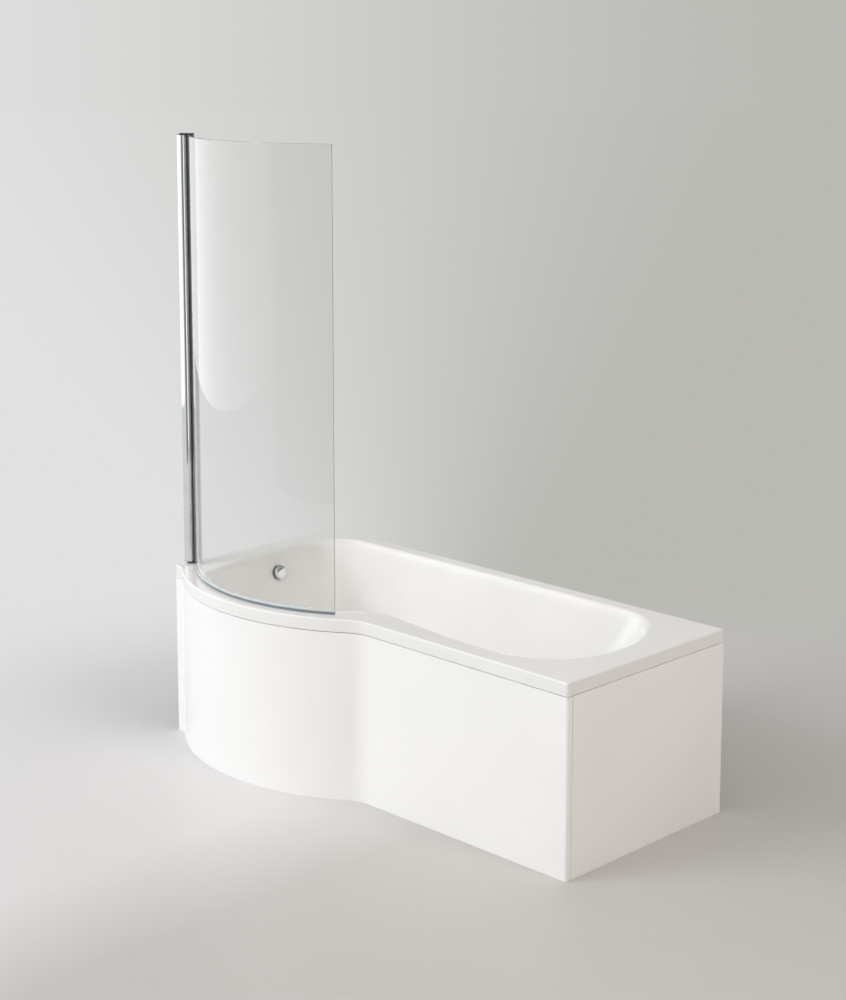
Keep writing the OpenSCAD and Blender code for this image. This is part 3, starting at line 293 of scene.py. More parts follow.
def sprayed_fibre():
    """Glass fibre and resin sprayed on the underside: dull cream, with strands about 40 by 4 mm."""
    material, tree, coords, shader = surface_material("sprayed_glass_fibre_resin")
    set_shader(shader, ior=1.55)
    strands = []
    for turn, scale in ((0.4, 26.0), (1.7, 31.0), (2.6, 22.0)):
        turned = add(tree, "Mapping",
                     {"Vector": coords, "Rotation": (turn, turn * 0.7, turn), "Scale": (1.0, 9.0, 9.0)})
        strand = add(tree, "TexNoise",
                     {"Vector": turned.outputs[0], "Scale": scale, "Detail": 3.0, "Distortion": 0.6})
        strands.append(strand.outputs["Fac"])
    pair = add(tree, "Math", {0: strands[0], 1: strands[1]}, operation="MAXIMUM")
    mat = add(tree, "Math", {0: pair.outputs[0], 1: strands[2]}, operation="MAXIMUM")
    paint(tree, shader, mat.outputs[0], "#C9C2AE", "#E9E4D6", 0.5, 0.72)
    roughen(tree, shader, mat.outputs[0], 0.62, 0.4)
    dent(tree, shader, mat.outputs[0], 0.7, 0.0012)
    return material


def panel_acrylic():
    """The panels' thinner acrylic-faced sheet, with a little less gloss than the bath."""
    material, tree, coords, shader = surface_material("pressed_acrylic_panel")
    set_shader(shader, ior=1.49)
    cloud = noise(tree, coords, 2.2, 2.0)
    paint(tree, shader, cloud, "#F2F2F1", "#F5F5F4")
    film = noise(tree, coords, 30.0, 4.0)
    roughen(tree, shader, film, 0.2, 0.27)
    waves = noise(tree, coords, 7.0, 1.0)   # about 140 mm long
    dent(tree, shader, waves, 0.2, 0.0006)
    return material


def chrome_plate(name, dull, bright, roughness):
    """Plated or polished metal: a polish so even that only a faint haze varies over it."""
    material, tree, coords, shader = surface_material(name)
    set_shader(shader, metallic=1.0)
    haze = noise(tree, coords, 18.0, 2.0)
    paint(tree, shader, haze, dull, bright)
    roughen(tree, shader, haze, roughness * 0.8, roughness * 1.2)
    return material


def zinc_steel():
    """Hot-dip galvanised steel: dull grey with spangle flakes about 8 mm across."""
    material, tree, coords, shader = surface_material("galvanised_steel_sheet")
    set_shader(shader, metallic=1.0)
    flakes = add(tree, "TexVoronoi", {"Vector": coords, "Scale": 120.0})
    paint(tree, shader, flakes.outputs["Distance"], "#A9AEB2", "#C3C8CB", 0.1, 0.7)
    roughen(tree, shader, flakes.outputs["Distance"], 0.34, 0.5)
    dent(tree, shader, flakes.outputs["Distance"], 0.15, 0.0003)
    return material


def moulded_plastic(name, low, high, roughness, grain=900.0, depth=0.00008):
    """Moulded plastic or rubber: even colour with a grain from the mould.

    The grain is drawn about 1 mm across, coarser than the real one, so that it can be seen.
    """
    material, tree, coords, shader = surface_material(name)
    set_shader(shader, ior=1.5)
    cloud = noise(tree, coords, 14.0, 3.0)
    paint(tree, shader, cloud, low, high)
    mould = noise(tree, coords, grain, 2.0)
    roughen(tree, shader, mould, roughness - 0.06, roughness + 0.06)
    dent(tree, shader, mould, 0.3, depth)
    return material


def sawn_softwood():
    """Planed softwood batten: wavering growth rings about 1.2 mm apart, level along its length."""
    material, tree, coords, shader = surface_material("planed_softwood")
    set_shader(shader, ior=1.45)
    drawn = add(tree, "Mapping", {"Vector": coords, "Scale": (1.0, 1.0, 14.0)})
    warp = noise(tree, coords, 5.0, 3.0)
    ring = add(tree, "TexWave", {
        "Vector": drawn.outputs[0], "Scale": 18.0, "Distortion": 5.0, "Detail": 3.0,
        "Detail Scale": 1.4,
    }, wave_type="BANDS", bands_direction="Z")
    both = add(tree, "Math", {0: ring.outputs["Fac"], 1: warp}, operation="MULTIPLY")
    paint(tree, shader, both.outputs[0], "#C79F6B", "#E0C290", 0.1, 0.6)
    roughen(tree, shader, ring.outputs["Fac"], 0.55, 0.72)
    dent(tree, shader, ring.outputs["Fac"], 0.3, 0.0003)
    return material


def pressed_chipboard():
    """Chipboard: pressed flakes about 6 mm across in two tones."""
    material, tree, coords, shader = surface_material("pressed_chipboard")
    set_shader(shader, ior=1.45, roughness=0.7)
    chips = add(tree, "TexVoronoi", {"Vector": coords, "Scale": 160.0, "Randomness": 1.0})
    dust = noise(tree, coords, 90.0, 4.0)
    both = add(tree, "Math", {0: chips.outputs["Distance"], 1: dust}, operation="MULTIPLY")
    paint(tree, shader, both.outputs[0], "#B08E5E", "#D6BC8E", 0.1, 0.4)
    dent(tree, shader, both.outputs[0], 0.3, 0.0004)
    return material


def let_lamps_through(tree, shader):
    """Lamps shine through the clear material, as they do through a real pane."""
    path = add(tree, "LightPath")
    clear = add(tree, "BsdfTransparent")
    mix = add(tree, "MixShader",
              {0: path.outputs["Is Shadow Ray"], 1: shader.outputs[0], 2: clear.outputs[0]})
    surface = next(node for node in tree.nodes if node.type == "OUTPUT_MATERIAL")
    tree.links.new(mix.outputs[0], surface.inputs["Surface"])


def clear_float_glass():
    """Toughened 6 mm float glass: clear, and green only at its edges, which have their own finish."""
    material, tree, coords, shader = surface_material("toughened_float_glass")
    set_shader(shader, ior=1.52, transmission_weight=1.0)
    shader.inputs["Base Color"].default_value = linear("#F7F8F7")
    smear = noise(tree, coords, 6.0, 3.0)
    roughen(tree, shader, smear, 0.0, 0.01)
    let_lamps_through(tree, shader)
    return material


def glass_edge():
    """The ground and polished edge of the pane, where the glass shows its dark grey-green depth."""
    material, tree, coords, shader = surface_material("polished_glass_edge")
    set_shader(shader, ior=1.52, transmission_weight=0.2)
    depth = noise(tree, coords, 12.0, 2.0)
    paint(tree, shader, depth, "#2B3231", "#363E3D")
    roughen(tree, shader, depth, 0.1, 0.2)
    let_lamps_through(tree, shader)
    return material


SEAL_FOOT, SEAL_TOP = 0.564, 0.581      # metres over the floor


def seal_pvc():
    """Clear extruded PVC seal: its fin at the foot painted dark grey as painted shadow, its legs up the
    glass clear and pale.
    """
    material, tree, coords, shader = surface_material("extruded_clear_pvc_painted_shadow_at_foot")
    set_shader(shader, ior=1.53, transmission_weight=0.6)
    place = add(tree, "SeparateXYZ", {0: coords})
    height = spread(tree, place.outputs["Z"], SEAL_FOOT, SEAL_TOP)
    # Painted shadow: the seal is painted dark grey at its foot, where shadow falls under the glass, and
    # pale above it.
    paint(tree, shader, height, "#87939A", "#E4E8E8", 0.5, 0.62)
    cloud = noise(tree, coords, 30.0, 3.0)
    roughen(tree, shader, cloud, 0.18, 0.3)
    let_lamps_through(tree, shader)
    return material


MATERIALS = {
    "white_acrylic": panel_acrylic(),
    "board": pressed_chipboard(),
    "timber": sawn_softwood(),
    "galvanised_steel": zinc_steel(),
    "black_plastic": moulded_plastic("moulded_black_nylon", "#1B1C1D", "#232425", 0.42),
    "dark_metal": moulded_plastic("powder_coated_zinc_casting", "#3A3C3E", "#46484A", 0.38),
    "chrome": chrome_plate("bright_chrome_plate", "#E2E4E6", "#E8EAEC", 0.05),
    "dark_chrome": chrome_plate("satin_dark_chrome_plate", "#66686A", "#707274", 0.2),
    "white_plastic": moulded_plastic("moulded_white_polypropylene", "#E2E2DE", "#ECECEA", 0.38),
    "foam_white": moulded_plastic("closed_cell_foam", "#D9D8D3", "#E6E5E1", 0.8, 1500.0, 0.0004),
    "black_rubber": moulded_plastic("moulded_black_rubber", "#161616", "#202020", 0.6, 700.0, 0.0001),
    "grey_hose": moulded_plastic("moulded_grey_polypropylene", "#AEB0B1", "#BCBEBF", 0.42),
    "cable_sheath": moulded_plastic("extruded_cable_sheath", "#141415", "#1E1E20", 0.4),
    "screen_glass": clear_float_glass(),
    "clear_seal": seal_pvc(),
}
SHELL_ACRYLIC = cast_acrylic()
FIBRE = sprayed_fibre()
GLASS_EDGE = glass_edge()
# Painted reflection: the glass holder's polished metal is painted darker than the post's chrome, standing
# in for the dark surroundings that it mirrors.
HOLDER_DARKENED_METAL = chrome_plate("polished_metal_painted_darker_for_reflection", "#85888B", "#8E9194", 0.07)


# --- Making pieces -------------------------------------------------------------------------

WELD, CAD_WELD = 0.000002, 0.00001      # metres: points this close become one


def pick(piece):
    """Selects one piece alone and makes it the active one."""
    bpy.ops.object.select_all(action="DESELECT")
    piece.select_set(True)
    bpy.context.view_layer.objects.active = piece


def put(name, mesh):
    """A new piece in the scene that shows a mesh."""
    piece = bpy.data.objects.new(name, mesh)
    bpy.context.scene.collection.objects.link(piece)
    return piece


def start_edit(piece):
    """Opens a piece in edit mode with all its points selected."""
    pick(piece)
    bpy.ops.object.mode_set(mode="EDIT")
    bpy.ops.mesh.select_mode(type="VERT")
    bpy.ops.mesh.select_all(action="SELECT")


def end_edit():
    """Goes back to object mode."""
    bpy.ops.object.mode_set(mode="OBJECT")


def use_modifier(piece, kind, **settings):
    """Adds a modifier with its settings and applies it."""
    modifier = piece.modifiers.new(kind.lower(), kind)
    for name, value in settings.items():
        setattr(modifier, name, value)
    pick(piece)
    bpy.ops.object.modifier_apply(modifier=modifier.name)


def smooth(piece, angle):
    """Shades smooth over all edges flatter than an angle in degrees."""
    pick(piece)
    bpy.ops.object.shade_smooth_by_angle(angle=radians(angle))


def settle(piece, node, material=None):
    """Applies a piece's place, gives it its material, and lets it stand for its CAD node."""
    pick(piece)
    bpy.ops.object.transform_apply(location=True, rotation=True, scale=True)
    if material is not None or not piece.data.materials:
        piece.data.materials.clear()
        piece.data.materials.append(material or MATERIALS[SLOT_OF[node]])
    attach(piece, BODY_OF[node])
    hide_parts(node)


def rounded_copy(node, width, material=None):
    """A copy of a CAD node with its edges rounded by width, in millimetres."""
    sharp = 40                          # degrees: flatter edges than this are facets of a curve
    piece = put(node + "_finished", NODES[node].data.copy())
    piece.data.materials.clear()
    start_edit(piece)
    bpy.ops.mesh.remove_doubles(threshold=CAD_WELD)
    bpy.ops.mesh.dissolve_limited(angle_limit=radians(0.4))
    end_edit()
    use_modifier(piece, "BEVEL", width=width * MM, segments=2, limit_method="ANGLE",
                 angle_limit=radians(sharp), use_clamp_overlap=True)
    smooth(piece, sharp)
    use_modifier(piece, "WEIGHTED_NORMAL", keep_sharp=True)
    settle(piece, node, material)


def close_up(piece, angle=32):
    """Merges a piece's doubled points, turns its faces outwards and smooths it."""
    start_edit(piece)
    bpy.ops.mesh.remove_doubles(threshold=WELD)
    bpy.ops.mesh.normals_make_consistent(inside=False)
    end_edit()
    smooth(piece, angle)


def drawn_up(name, profile, sides=96):
    """A round piece drawn up from a disc ring by ring, along (radius, height) points from its foot."""
    bpy.ops.object.select_all(action="DESELECT")
    bpy.ops.mesh.primitive_circle_add(vertices=sides, radius=profile[0][0] * MM, fill_type="NGON")
    piece = bpy.context.object
    piece.name = name
    start_edit(piece)
    bpy.ops.transform.translate(value=(0, 0, profile[0][1] * MM))
    for (radius, height), (next_radius, next_height) in zip(profile, profile[1:]):
        rise = (0, 0, (next_height - height) * MM)
        bpy.ops.mesh.extrude_region_move(TRANSFORM_OT_translate={"value": rise})
        if next_radius != radius:
            share = next_radius / radius
            bpy.ops.transform.resize(value=(share, share, 1), center_override=(0, 0, next_height * MM))
    end_edit()
    close_up(piece)
    return piece


def stand(piece, place, axis):
    """Puts a piece that was made round the Z axis at a place in millimetres, along an axis."""
    turn = axis.to_track_quat("Z", "Y").to_matrix().to_4x4()
    piece.matrix_world = Matrix.Translation(place * MM) @ turn


def solids_of(node):
    """The middle, lowest and highest corner of each separate solid of a CAD node, in millimetres."""
    build = bmesh.new()
    build.from_mesh(NODES[node].data)
    bmesh.ops.remove_doubles(build, verts=build.verts, dist=CAD_WELD)
    waiting = set(build.verts)
    found = []
    while waiting:
        front = [waiting.pop()]
        corners = []
        while front:
            vert = front.pop()
            corners.append(vert.co / MM)
            near = {edge.other_vert(vert) for edge in vert.link_edges} & waiting
            waiting -= near
            front.extend(near)
        low = Vector([min(c[i] for c in corners) for i in range(3)])
        high = Vector([max(c[i] for c in corners) for i in range(3)])
        found.append(((low + high) / 2, low, high))
    build.free()
    return sorted(found, key=lambda solid: tuple(solid[0]))


def join_pieces(name, pieces):
    """Joins pieces that stand for one CAD node."""
    bpy.ops.object.select_all(action="DESELECT")
    for piece in pieces:
        piece.select_set(True)
    bpy.context.view_layer.objects.active = pieces[0]
    bpy.ops.object.transform_apply(location=True, rotation=True, scale=True)
    bpy.ops.object.join()
    pieces[0].name = name
    return pieces[0]


# --- The moulded bath ----------------------------------------------------------------------

X_WALL, X_OPEN, Y_FRONT, Y_BACK = -850.0, 850.0, -275.0, 425.0
RIM_TOP, RIM_BOTTOM, FLOOR_Z, SHELL = 564.0, 525.0, 144.0, 5.0
CORNER, RIM_ROUND, BASIN_ROUND, FLOOR_ROUND = 8.0, 5.0, 16.0, 60.0
BOW_R, STRIP_R, WAIST_R = 680.0, 14.0, 120.0
OPENING_WALL, FLOOR_WALL = -774.0, -660.0   # the basin's wall end at its mouth and at its floor
BOW_OUT, BOW_FROM_WALL = 150.0, 27.0    # how far the bow stands out, and where it starts
STRAIGHT_START = X_OPEN - 330           # where the outline starts on the straight front
FINE = 3                                # how many times finer the outlines are than the CAD solid's


def heading(angle):
    """The level direction at an angle in degrees from X."""
    return Vector((cos(radians(angle)), sin(radians(angle))))


def polar(centre, radius, angle):
    """The point at a distance and an angle from a centre."""
    return centre + radius * heading(angle)


def line_points(start, end, count):
    """Points along a line, without its end."""
    return [Vector(start).lerp(Vector(end), i / count) for i in range(count)]


def arc_points(centre, radius, first, last, count):
    """Points along an arc, without its end."""
    return [polar(centre, radius, first + (last - first) * i / count) for i in range(count)]


bow_flat = BOW_R - BOW_OUT
strip_c = Vector((X_WALL + BOW_FROM_WALL, Y_FRONT - STRIP_R))
strip_to_bow = sqrt((BOW_R + STRIP_R) ** 2 - (bow_flat + STRIP_R) ** 2)
bow_c = Vector((X_WALL + BOW_FROM_WALL + strip_to_bow, Y_FRONT + bow_flat))
bow_to_waist = sqrt((BOW_R + WAIST_R) ** 2 - (bow_flat + WAIST_R) ** 2)
waist_c = Vector((bow_c.x + bow_to_waist, Y_FRONT - WAIST_R))
strip_angle = degrees(atan2(strip_c.y - bow_c.y, strip_c.x - bow_c.x))
waist_angle = degrees(atan2(waist_c.y - bow_c.y, waist_c.x - bow_c.x))


def bath_outline(d):
    """The outline of the whole bath, moved in by d, counter-clockwise from the straight front."""
    k = CORNER
    return (
        line_points((STRAIGHT_START, Y_FRONT + d), (X_OPEN - k, Y_FRONT + d), 5 * FINE)
        + arc_points(Vector((X_OPEN - k, Y_FRONT + k)), k - d, -90, 0, 4 * FINE)
        + line_points((X_OPEN - d, Y_FRONT + k), (X_OPEN - d, Y_BACK - k), 13 * FINE)
        + arc_points(Vector((X_OPEN - k, Y_BACK - k)), k - d, 0, 90, 4 * FINE)
        + line_points((X_OPEN - k, Y_BACK - d), (X_WALL + k, Y_BACK - d), 20 * FINE)
        + arc_points(Vector((X_WALL + k, Y_BACK - k)), k - d, 90, 180, 4 * FINE)
        + line_points((X_WALL + d, Y_BACK - k), (X_WALL + d, Y_FRONT + k), 15 * FINE)
        + arc_points(Vector((X_WALL + k, Y_FRONT + k)), k - d, 180, 270, 2 * FINE)
        + arc_points(strip_c, STRIP_R + d, 90, strip_angle + 180, 4 * FINE)
        + arc_points(bow_c, BOW_R - d, strip_angle, waist_angle, 27 * FINE)
        + arc_points(waist_c, WAIST_R + d, waist_angle + 180, 90, 6 * FINE)
        + line_points((waist_c.x, Y_FRONT + d), (STRAIGHT_START, Y_FRONT + d), 11 * FINE)
    )


def bend(start, corner, end, weight, t):
    """A point on a smooth bend that leaves and arrives along the lines to its corner."""
    a, b, c = (1 - t) ** 2, 2 * weight * t * (1 - t), t * t
    return (start * a + corner * b + end * c) / (a + b + c)


def rounded_outline(corners):
    """A closed outline from corners (point, run before, run after, steps, points on the line after)."""
    outline = []
    count = len(corners)
    into = [(corners[i][0] - corners[i - 1][0]).normalized() for i in range(count)]
    starts = [corners[i][0] - into[i] * corners[i][1] for i in range(count)]
    for i, (point, _before, after, steps, line) in enumerate(corners):
        out = into[(i + 1) % count]
        end = point + out * after
        weight = sqrt((1 + into[i].dot(out)) / 2)
        last = FINE * (steps + 1) - 1
        outline += [bend(starts[i], point, end, weight, s / last) for s in range(last + 1)]
        following = starts[(i + 1) % count]
        outline += [end.lerp(following, s / (FINE * line + 1)) for s in range(1, FINE * line + 1)]
    return outline


def moved_in(outline, d):
    """An outline moved in by d, or out where d is negative."""
    count = len(outline)
    moved = []
    for i, point in enumerate(outline):
        along = (outline[(i + 1) % count] - outline[i - 1]).normalized()
        moved.append(point + Vector((-along.y, along.x)) * d)
    return moved


def bow_corner(radius, first, last):
    """Where the tangents at the ends of an arc round the bow's centre meet, and the run to it."""
    half = radians((last - first) / 2)
    return polar(bow_c, radius / cos(half), (first + last) / 2), radius * tan(half)


def on_tangent(radius, angle, distance):
    """A point on the tangent at an angle of an arc round the bow's centre."""
    return polar(bow_c, radius, angle) + distance * heading(angle + 90)


def opening_outline():
    """The basin's mouth: its corners at the open end, the wall end, along the bow and the waist."""
    x_open, x_wall, y_back = 766, OPENING_WALL, 380
    radius, first, last = 622, -120, -76        # the arc along the bow, its angles in degrees
    corner, run = bow_corner(radius, first, last)
    wall = polar(bow_c, radius, first)
    run_along = x_open - waist_c.x
    return rounded_outline([
        (Vector((x_open, -217)), 0.355 * run_along, 260, 14, 0),
        (Vector((x_open, y_back)), 330, 250, 15, 12),
        (Vector((x_wall, y_back)), 140, 160, 9, 3),
        (Vector((x_wall, wall.y + (x_wall - wall.x) * tan(radians(first + 90)))), 330, 95, 11, 0),
        (corner, run - 60, run, 22, 0),
        (on_tangent(radius, last, 109), 90, 80, 6, 0),
        (Vector((waist_c.x - 92, -175)), 70, 110, 7, 3),
        (Vector((waist_c.x + run_along / 2, -219)), 0.16 * run_along, 0.125 * run_along, 5, 0),
    ])


def floor_outline():
    """The foot of the basin's walls, with the same corners in the same steps as its mouth."""
    x_open, x_wall, y_back = 420, FLOOR_WALL, 290
    radius, first, last = 542, -116, -76
    corner, run = bow_corner(radius, first, last)
    wall = polar(bow_c, radius, first)
    run_along = x_open - waist_c.x
    return rounded_outline([
        (Vector((x_open, -125)), 0.43 * run_along, 160, 14, 0),
        (Vector((x_open, y_back)), 180, 150, 15, 12),
        (Vector((x_wall, y_back)), 120, 130, 9, 3),
        (Vector((x_wall, wall.y + (x_wall - wall.x) * tan(radians(first + 90)))), 150, 70, 11, 0),
        (corner, run - 60, run, 22, 0),
        (on_tangent(radius, last, 90), 75, 70, 6, 0),
        (Vector((waist_c.x - 105, -127)), 70, 90, 7, 3),
        (Vector((waist_c.x + run_along / 3, -125)), 0.16 * run_along, 0.175 * run_along, 5, 0),
    ])


def raised(outline, z):
    """An outline as points at a height."""
    return [Vector((p.x, p.y, z)) for p in outline]


def basin_rings(edge, top_z, bottom_z, grow, detail):
    """Rings of one skin of the basin, from its upper edge to its floor; grow is that skin's depth."""
    wall_start, wall_end = 0.05, 0.8            # the wall's straight part, as shares of its height
    opening, floor = opening_outline(), floor_outline()
    start = raised(edge, top_z)
    head = raised(moved_in(opening, BASIN_ROUND - grow), top_z)
    foot = raised(moved_in(floor, -grow), bottom_z)
    inner = raised(moved_in(floor, FLOOR_ROUND), bottom_z)
    upper = [a.lerp(b, wall_start) for a, b in zip(head, foot)]
    lower = [a.lerp(b, wall_end) for a, b in zip(head, foot)]
    shares = [k / detail for k in range(detail + 1)]
    rings = [[bend(a, b, c, 1, t) for a, b, c in zip(start, head, upper)] for t in shares]
    rings += [[a.lerp(b, t) for a, b in zip(upper, lower)] for t in shares[1:-1]]
    rings += [[bend(a, b, c, 1, t) for a, b, c in zip(lower, foot, inner)] for t in shares]
    return rings


def shell_rings():
    """Rings over the upper side of the bath, from the foot of its rim to the middle of its floor."""
    soft_foot = ((1.0, 0), (0.3, 0.3), (0, 1.0))    # how far in and how far up, round the rim's foot
    rings = [raised(bath_outline(inset), RIM_BOTTOM + rise) for inset, rise in soft_foot]
    rings.append(raised(bath_outline(0), RIM_TOP - RIM_ROUND))
    steps = 8
    for k in range(1, steps + 1):
        a = pi / 2 * k / steps
        inset, fall = RIM_ROUND * (1 - cos(a)), RIM_ROUND * (1 - sin(a))
        rings.append(raised(bath_outline(inset), RIM_TOP - fall))
    rings += basin_rings(opening_outline(), RIM_TOP, FLOOR_Z, 0, 10)
    return rings


def under_rings():
    """Rings over the underside of the moulding, the shell's thickness below its upper side."""
    rings = [raised(bath_outline(SHELL), RIM_BOTTOM), raised(bath_outline(SHELL), RIM_TOP - SHELL)]
    edge = moved_in(opening_outline(), -SHELL / 2)
    rings += basin_rings(edge, RIM_TOP - SHELL, FLOOR_Z - SHELL, SHELL, 6)
    return rings


def cut_round(piece, place, axis, radius, low, high):
    """Cuts a round hole or recess along an axis, between two depths on it."""
    bpy.ops.object.select_all(action="DESELECT")
    bpy.ops.mesh.primitive_cylinder_add(
        vertices=96, radius=radius * MM, depth=(high - low) * MM,
        location=(place + axis * (low + high) / 2) * MM,
        rotation=axis.to_track_quat("Z", "Y").to_euler())
    cutter = bpy.context.object
    use_modifier(piece, "BOOLEAN", object=cutter, operation="DIFFERENCE", solver="EXACT")
    bpy.data.objects.remove(cutter)


WALL_LEAN = atan2(FLOOR_WALL - OPENING_WALL - BASIN_ROUND, RIM_TOP - FLOOR_Z)
OVERFLOW_DROP, OVERFLOW_PAD = 72.0, 1.0     # how far under the rim, and how far let into the wall
OVERFLOW_OUT = Vector((cos(WALL_LEAN), 0, sin(WALL_LEAN)))
OVERFLOW_DOWN = Vector((sin(WALL_LEAN), 0, -cos(WALL_LEAN)))
Y_MIDDLE = (Y_FRONT + Y_BACK) / 2
OVERFLOW = Vector((OPENING_WALL + BASIN_ROUND + OVERFLOW_DROP * tan(WALL_LEAN), Y_MIDDLE,
                   RIM_TOP - OVERFLOW_DROP)) - OVERFLOW_PAD * OVERFLOW_OUT
WASTE = Vector((-540, Y_MIDDLE, 0))
UP = Vector((0, 0, 1))


def make_bath():
    """Lofts the moulding ring by ring, which no run of edit steps gives as evenly."""
    upper, under = shell_rings(), under_rings()
    rings = upper[::-1] + under
    mesh = bpy.data.meshes.new("bath_shell_moulded")
    build = bmesh.new()
    loops = [[build.verts.new(point * MM) for point in ring] for ring in rings]
    count = len(loops[0])
    for k in range(len(loops) - 1):
        for i in range(count):
            j = (i + 1) % count
            face = build.faces.new((loops[k][i], loops[k][j], loops[k + 1][j], loops[k + 1][i]))
            face.material_index = int(k >= len(upper))
    build.faces.new(loops[0][::-1])
    build.faces.new(loops[-1]).material_index = 1
    bmesh.ops.recalc_face_normals(build, faces=build.faces)
    build.to_mesh(mesh)
    build.free()
    bath = put("bath_shell_moulded", mesh)
    mesh.materials.append(SHELL_ACRYLIC)
    mesh.materials.append(FIBRE)
    for place, axis, radius, low, high in (
        (WASTE, UP, 36, 141.5, 150),                     # the seat of the waste's flange
        (WASTE, UP, 26, 120, 145),                       # the waste hole
        (OVERFLOW, OVERFLOW_OUT, 20, -20, 10),           # the overflow hole
        (OVERFLOW, OVERFLOW_OUT, 26.2, 0, 12),           # the flat that the overflow's ring stands on
        (OVERFLOW, OVERFLOW_OUT, 29.2, -16, -3.5),       # the flat that its washer is drawn up to
    ):
        cut_round(bath, place, axis, radius, low, high)
    smooth(bath, 32)
    use_modifier(bath, "WEIGHTED_NORMAL", keep_sharp=True)
    settle(bath, "bath_shell")


make_bath()


# --- Screen --------------------------------------------------------------------------------

HINGE = Vector((-836, -222, 0))
SCREEN_WAY = -45.0                      # the way the glass leaves its holder, in degrees from above
GLASS_R, GLASS_T, GLASS_BOTTOM, GLASS_TOP = 602.0, 6.0, 572.0, 1972.0
GLASS_WIDTH, GLASS_START, HOLDER_OFFSET, HOLDER_FRONT = 824.0, 6.0, 25.2, 20.0
GLASS_C = HINGE + (GLASS_START * heading(SCREEN_WAY)
                   + (HOLDER_OFFSET + GLASS_R) * heading(SCREEN_WAY + 90)).to_3d()
GLASS_FROM = SCREEN_WAY - 90 - degrees(asin((GLASS_START - 2) / GLASS_R))
GLASS_TO = GLASS_FROM + degrees(GLASS_WIDTH / GLASS_R)
SEAL_FROM = SCREEN_WAY - 90 + degrees(asin((HOLDER_FRONT + 1 - GLASS_START) / GLASS_R))
CURVE_STEPS = 120                       # steps of the pane and its seal along their curve


def spun(name, outline, first, last, steps):
    """Spins an outline of (radius, height) points round the glass's axis, from one angle to another.

    The spin tool turns the other way round for a positive angle.
    """
    out = heading(first).to_3d()
    mesh = bpy.data.meshes.new(name)
    points = [(GLASS_C + out * radius + Vector((0, 0, height))) * MM for radius, height in outline]
    mesh.from_pydata(points, [], [tuple(range(len(points)))])
    piece = put(name, mesh)
    start_edit(piece)
    bpy.ops.mesh.spin(steps=steps, angle=radians(first - last), center=GLASS_C * MM, axis=(0, 0, 1))
    end_edit()
    close_up(piece, 30)
    return piece


def round_edges(piece, width):
    """Rounds a spun piece's sharp edges by width, and leaves the small steps of its curve."""
    use_modifier(piece, "BEVEL", width=width * MM, segments=2, limit_method="ANGLE",
                 angle_limit=radians(60))


def make_glass():
    """The curved pane, bent and toughened, with its edges ground and polished."""
    inner, outer = GLASS_R - GLASS_T / 2, GLASS_R + GLASS_T / 2
    section = [(inner, GLASS_BOTTOM), (outer, GLASS_BOTTOM), (outer, GLASS_TOP), (inner, GLASS_TOP)]
    glass = spun("curved_glass", section, GLASS_FROM, GLASS_TO, CURVE_STEPS)
    round_edges(glass, 1.5)
    glass.data.materials.append(MATERIALS["screen_glass"])
    glass.data.materials.append(GLASS_EDGE)
    side = 0.9                          # a face less square than this to the curve is an edge
    for face in glass.data.polygons:
        out = face.center - GLASS_C * MM
        out.z = 0
        face.material_index = int(abs(face.normal.dot(out.normalized())) < side)
    smooth(glass, 30)
    settle(glass, "screen_glass")


def make_bottom_seal():
    """The clip-on seal: two legs that grip the glass and a fin that wipes the rim."""
    foot, shoulder, top = RIM_TOP + 0.3, GLASS_BOTTOM - 3, GLASS_BOTTOM + 9
    inner, outer = GLASS_T / 2 + 0.05, GLASS_T / 2 + 1.6
    fin = 0.8
    half = [(fin, foot), (fin, shoulder), (outer, shoulder), (outer, top), (inner, top),
            (inner, GLASS_BOTTOM)]
    outline = half + [(-across, height) for across, height in reversed(half)]
    section = [(GLASS_R + across, height) for across, height in outline]
    seal = spun("glass_bottom_seal", section, SEAL_FROM, GLASS_TO, CURVE_STEPS)
    round_edges(seal, 0.25)
    smooth(seal, 30)
    settle(seal, "screen_bottom_seal")


make_glass()
make_bottom_seal()


# --- Overflow and waste --------------------------------------------------------------------

def make_knob():
    """The overflow's turning knob: a chromed cap with a soft edge and a shallow ring in its face."""
    knob = drawn_up("overflow_turning_knob", [
        (21.6, 9.5), (22.6, 9.8), (23.0, 10.6), (23.0, 15.0), (22.8, 16.2), (22.2, 17.2), (21.2, 17.9),
        (20.0, 18.3), (17.4, 18.55), (17.0, 18.3), (16.6, 18.3), (16.2, 18.6), (12.0, 18.85),
        (6.0, 18.97), (0.5, 19.0),
    ])
    stand(knob, OVERFLOW, OVERFLOW_OUT)
    settle(knob, "overflow_knob")


def make_plug():
    """The plug's chromed dome."""
    low = min(solid[1].z for solid in solids_of("plug_head"))
    plug = drawn_up("plug_dome", [
        (27.2, low), (28.6, low + 0.4), (29.0, low + 1.2), (28.8, low + 2.2), (28.0, low + 3.0),
        (26.0, low + 3.7), (22.0, low + 4.6), (16.0, low + 5.4), (9.0, low + 5.85), (3.0, low + 5.98),
        (0.5, low + 6.0),
    ])
    stand(plug, WASTE, UP)
    settle(plug, "plug_head")


make_knob()
make_plug()


# --- Small fixings -------------------------------------------------------------------------

def make_screw(shank, length, head, height):
    """A pan-head screw with a cross recess: shank up from the origin, head hanging below it."""
    tip, taper, slot = 0.4, 2, head * 0.24
    screw = drawn_up("screw", [
        (head * 0.5, -height), (head * 0.85, -height * 0.8), (head, -height * 0.35), (head, 0),
        (shank, 0), (shank, length - taper), (tip, length),
    ], 24)
    for turn in (0, pi / 2):
        bpy.ops.object.select_all(action="DESELECT")
        bpy.ops.mesh.primitive_cube_add(size=1, location=(0, 0, -height * MM), rotation=(0, 0, turn))
        cutter = bpy.context.object
        cutter.scale = (head * MM, slot * MM, height * 1.1 * MM)
        use_modifier(screw, "BOOLEAN", object=cutter, operation="DIFFERENCE", solver="EXACT")
        bpy.data.objects.remove(cutter)
    return screw


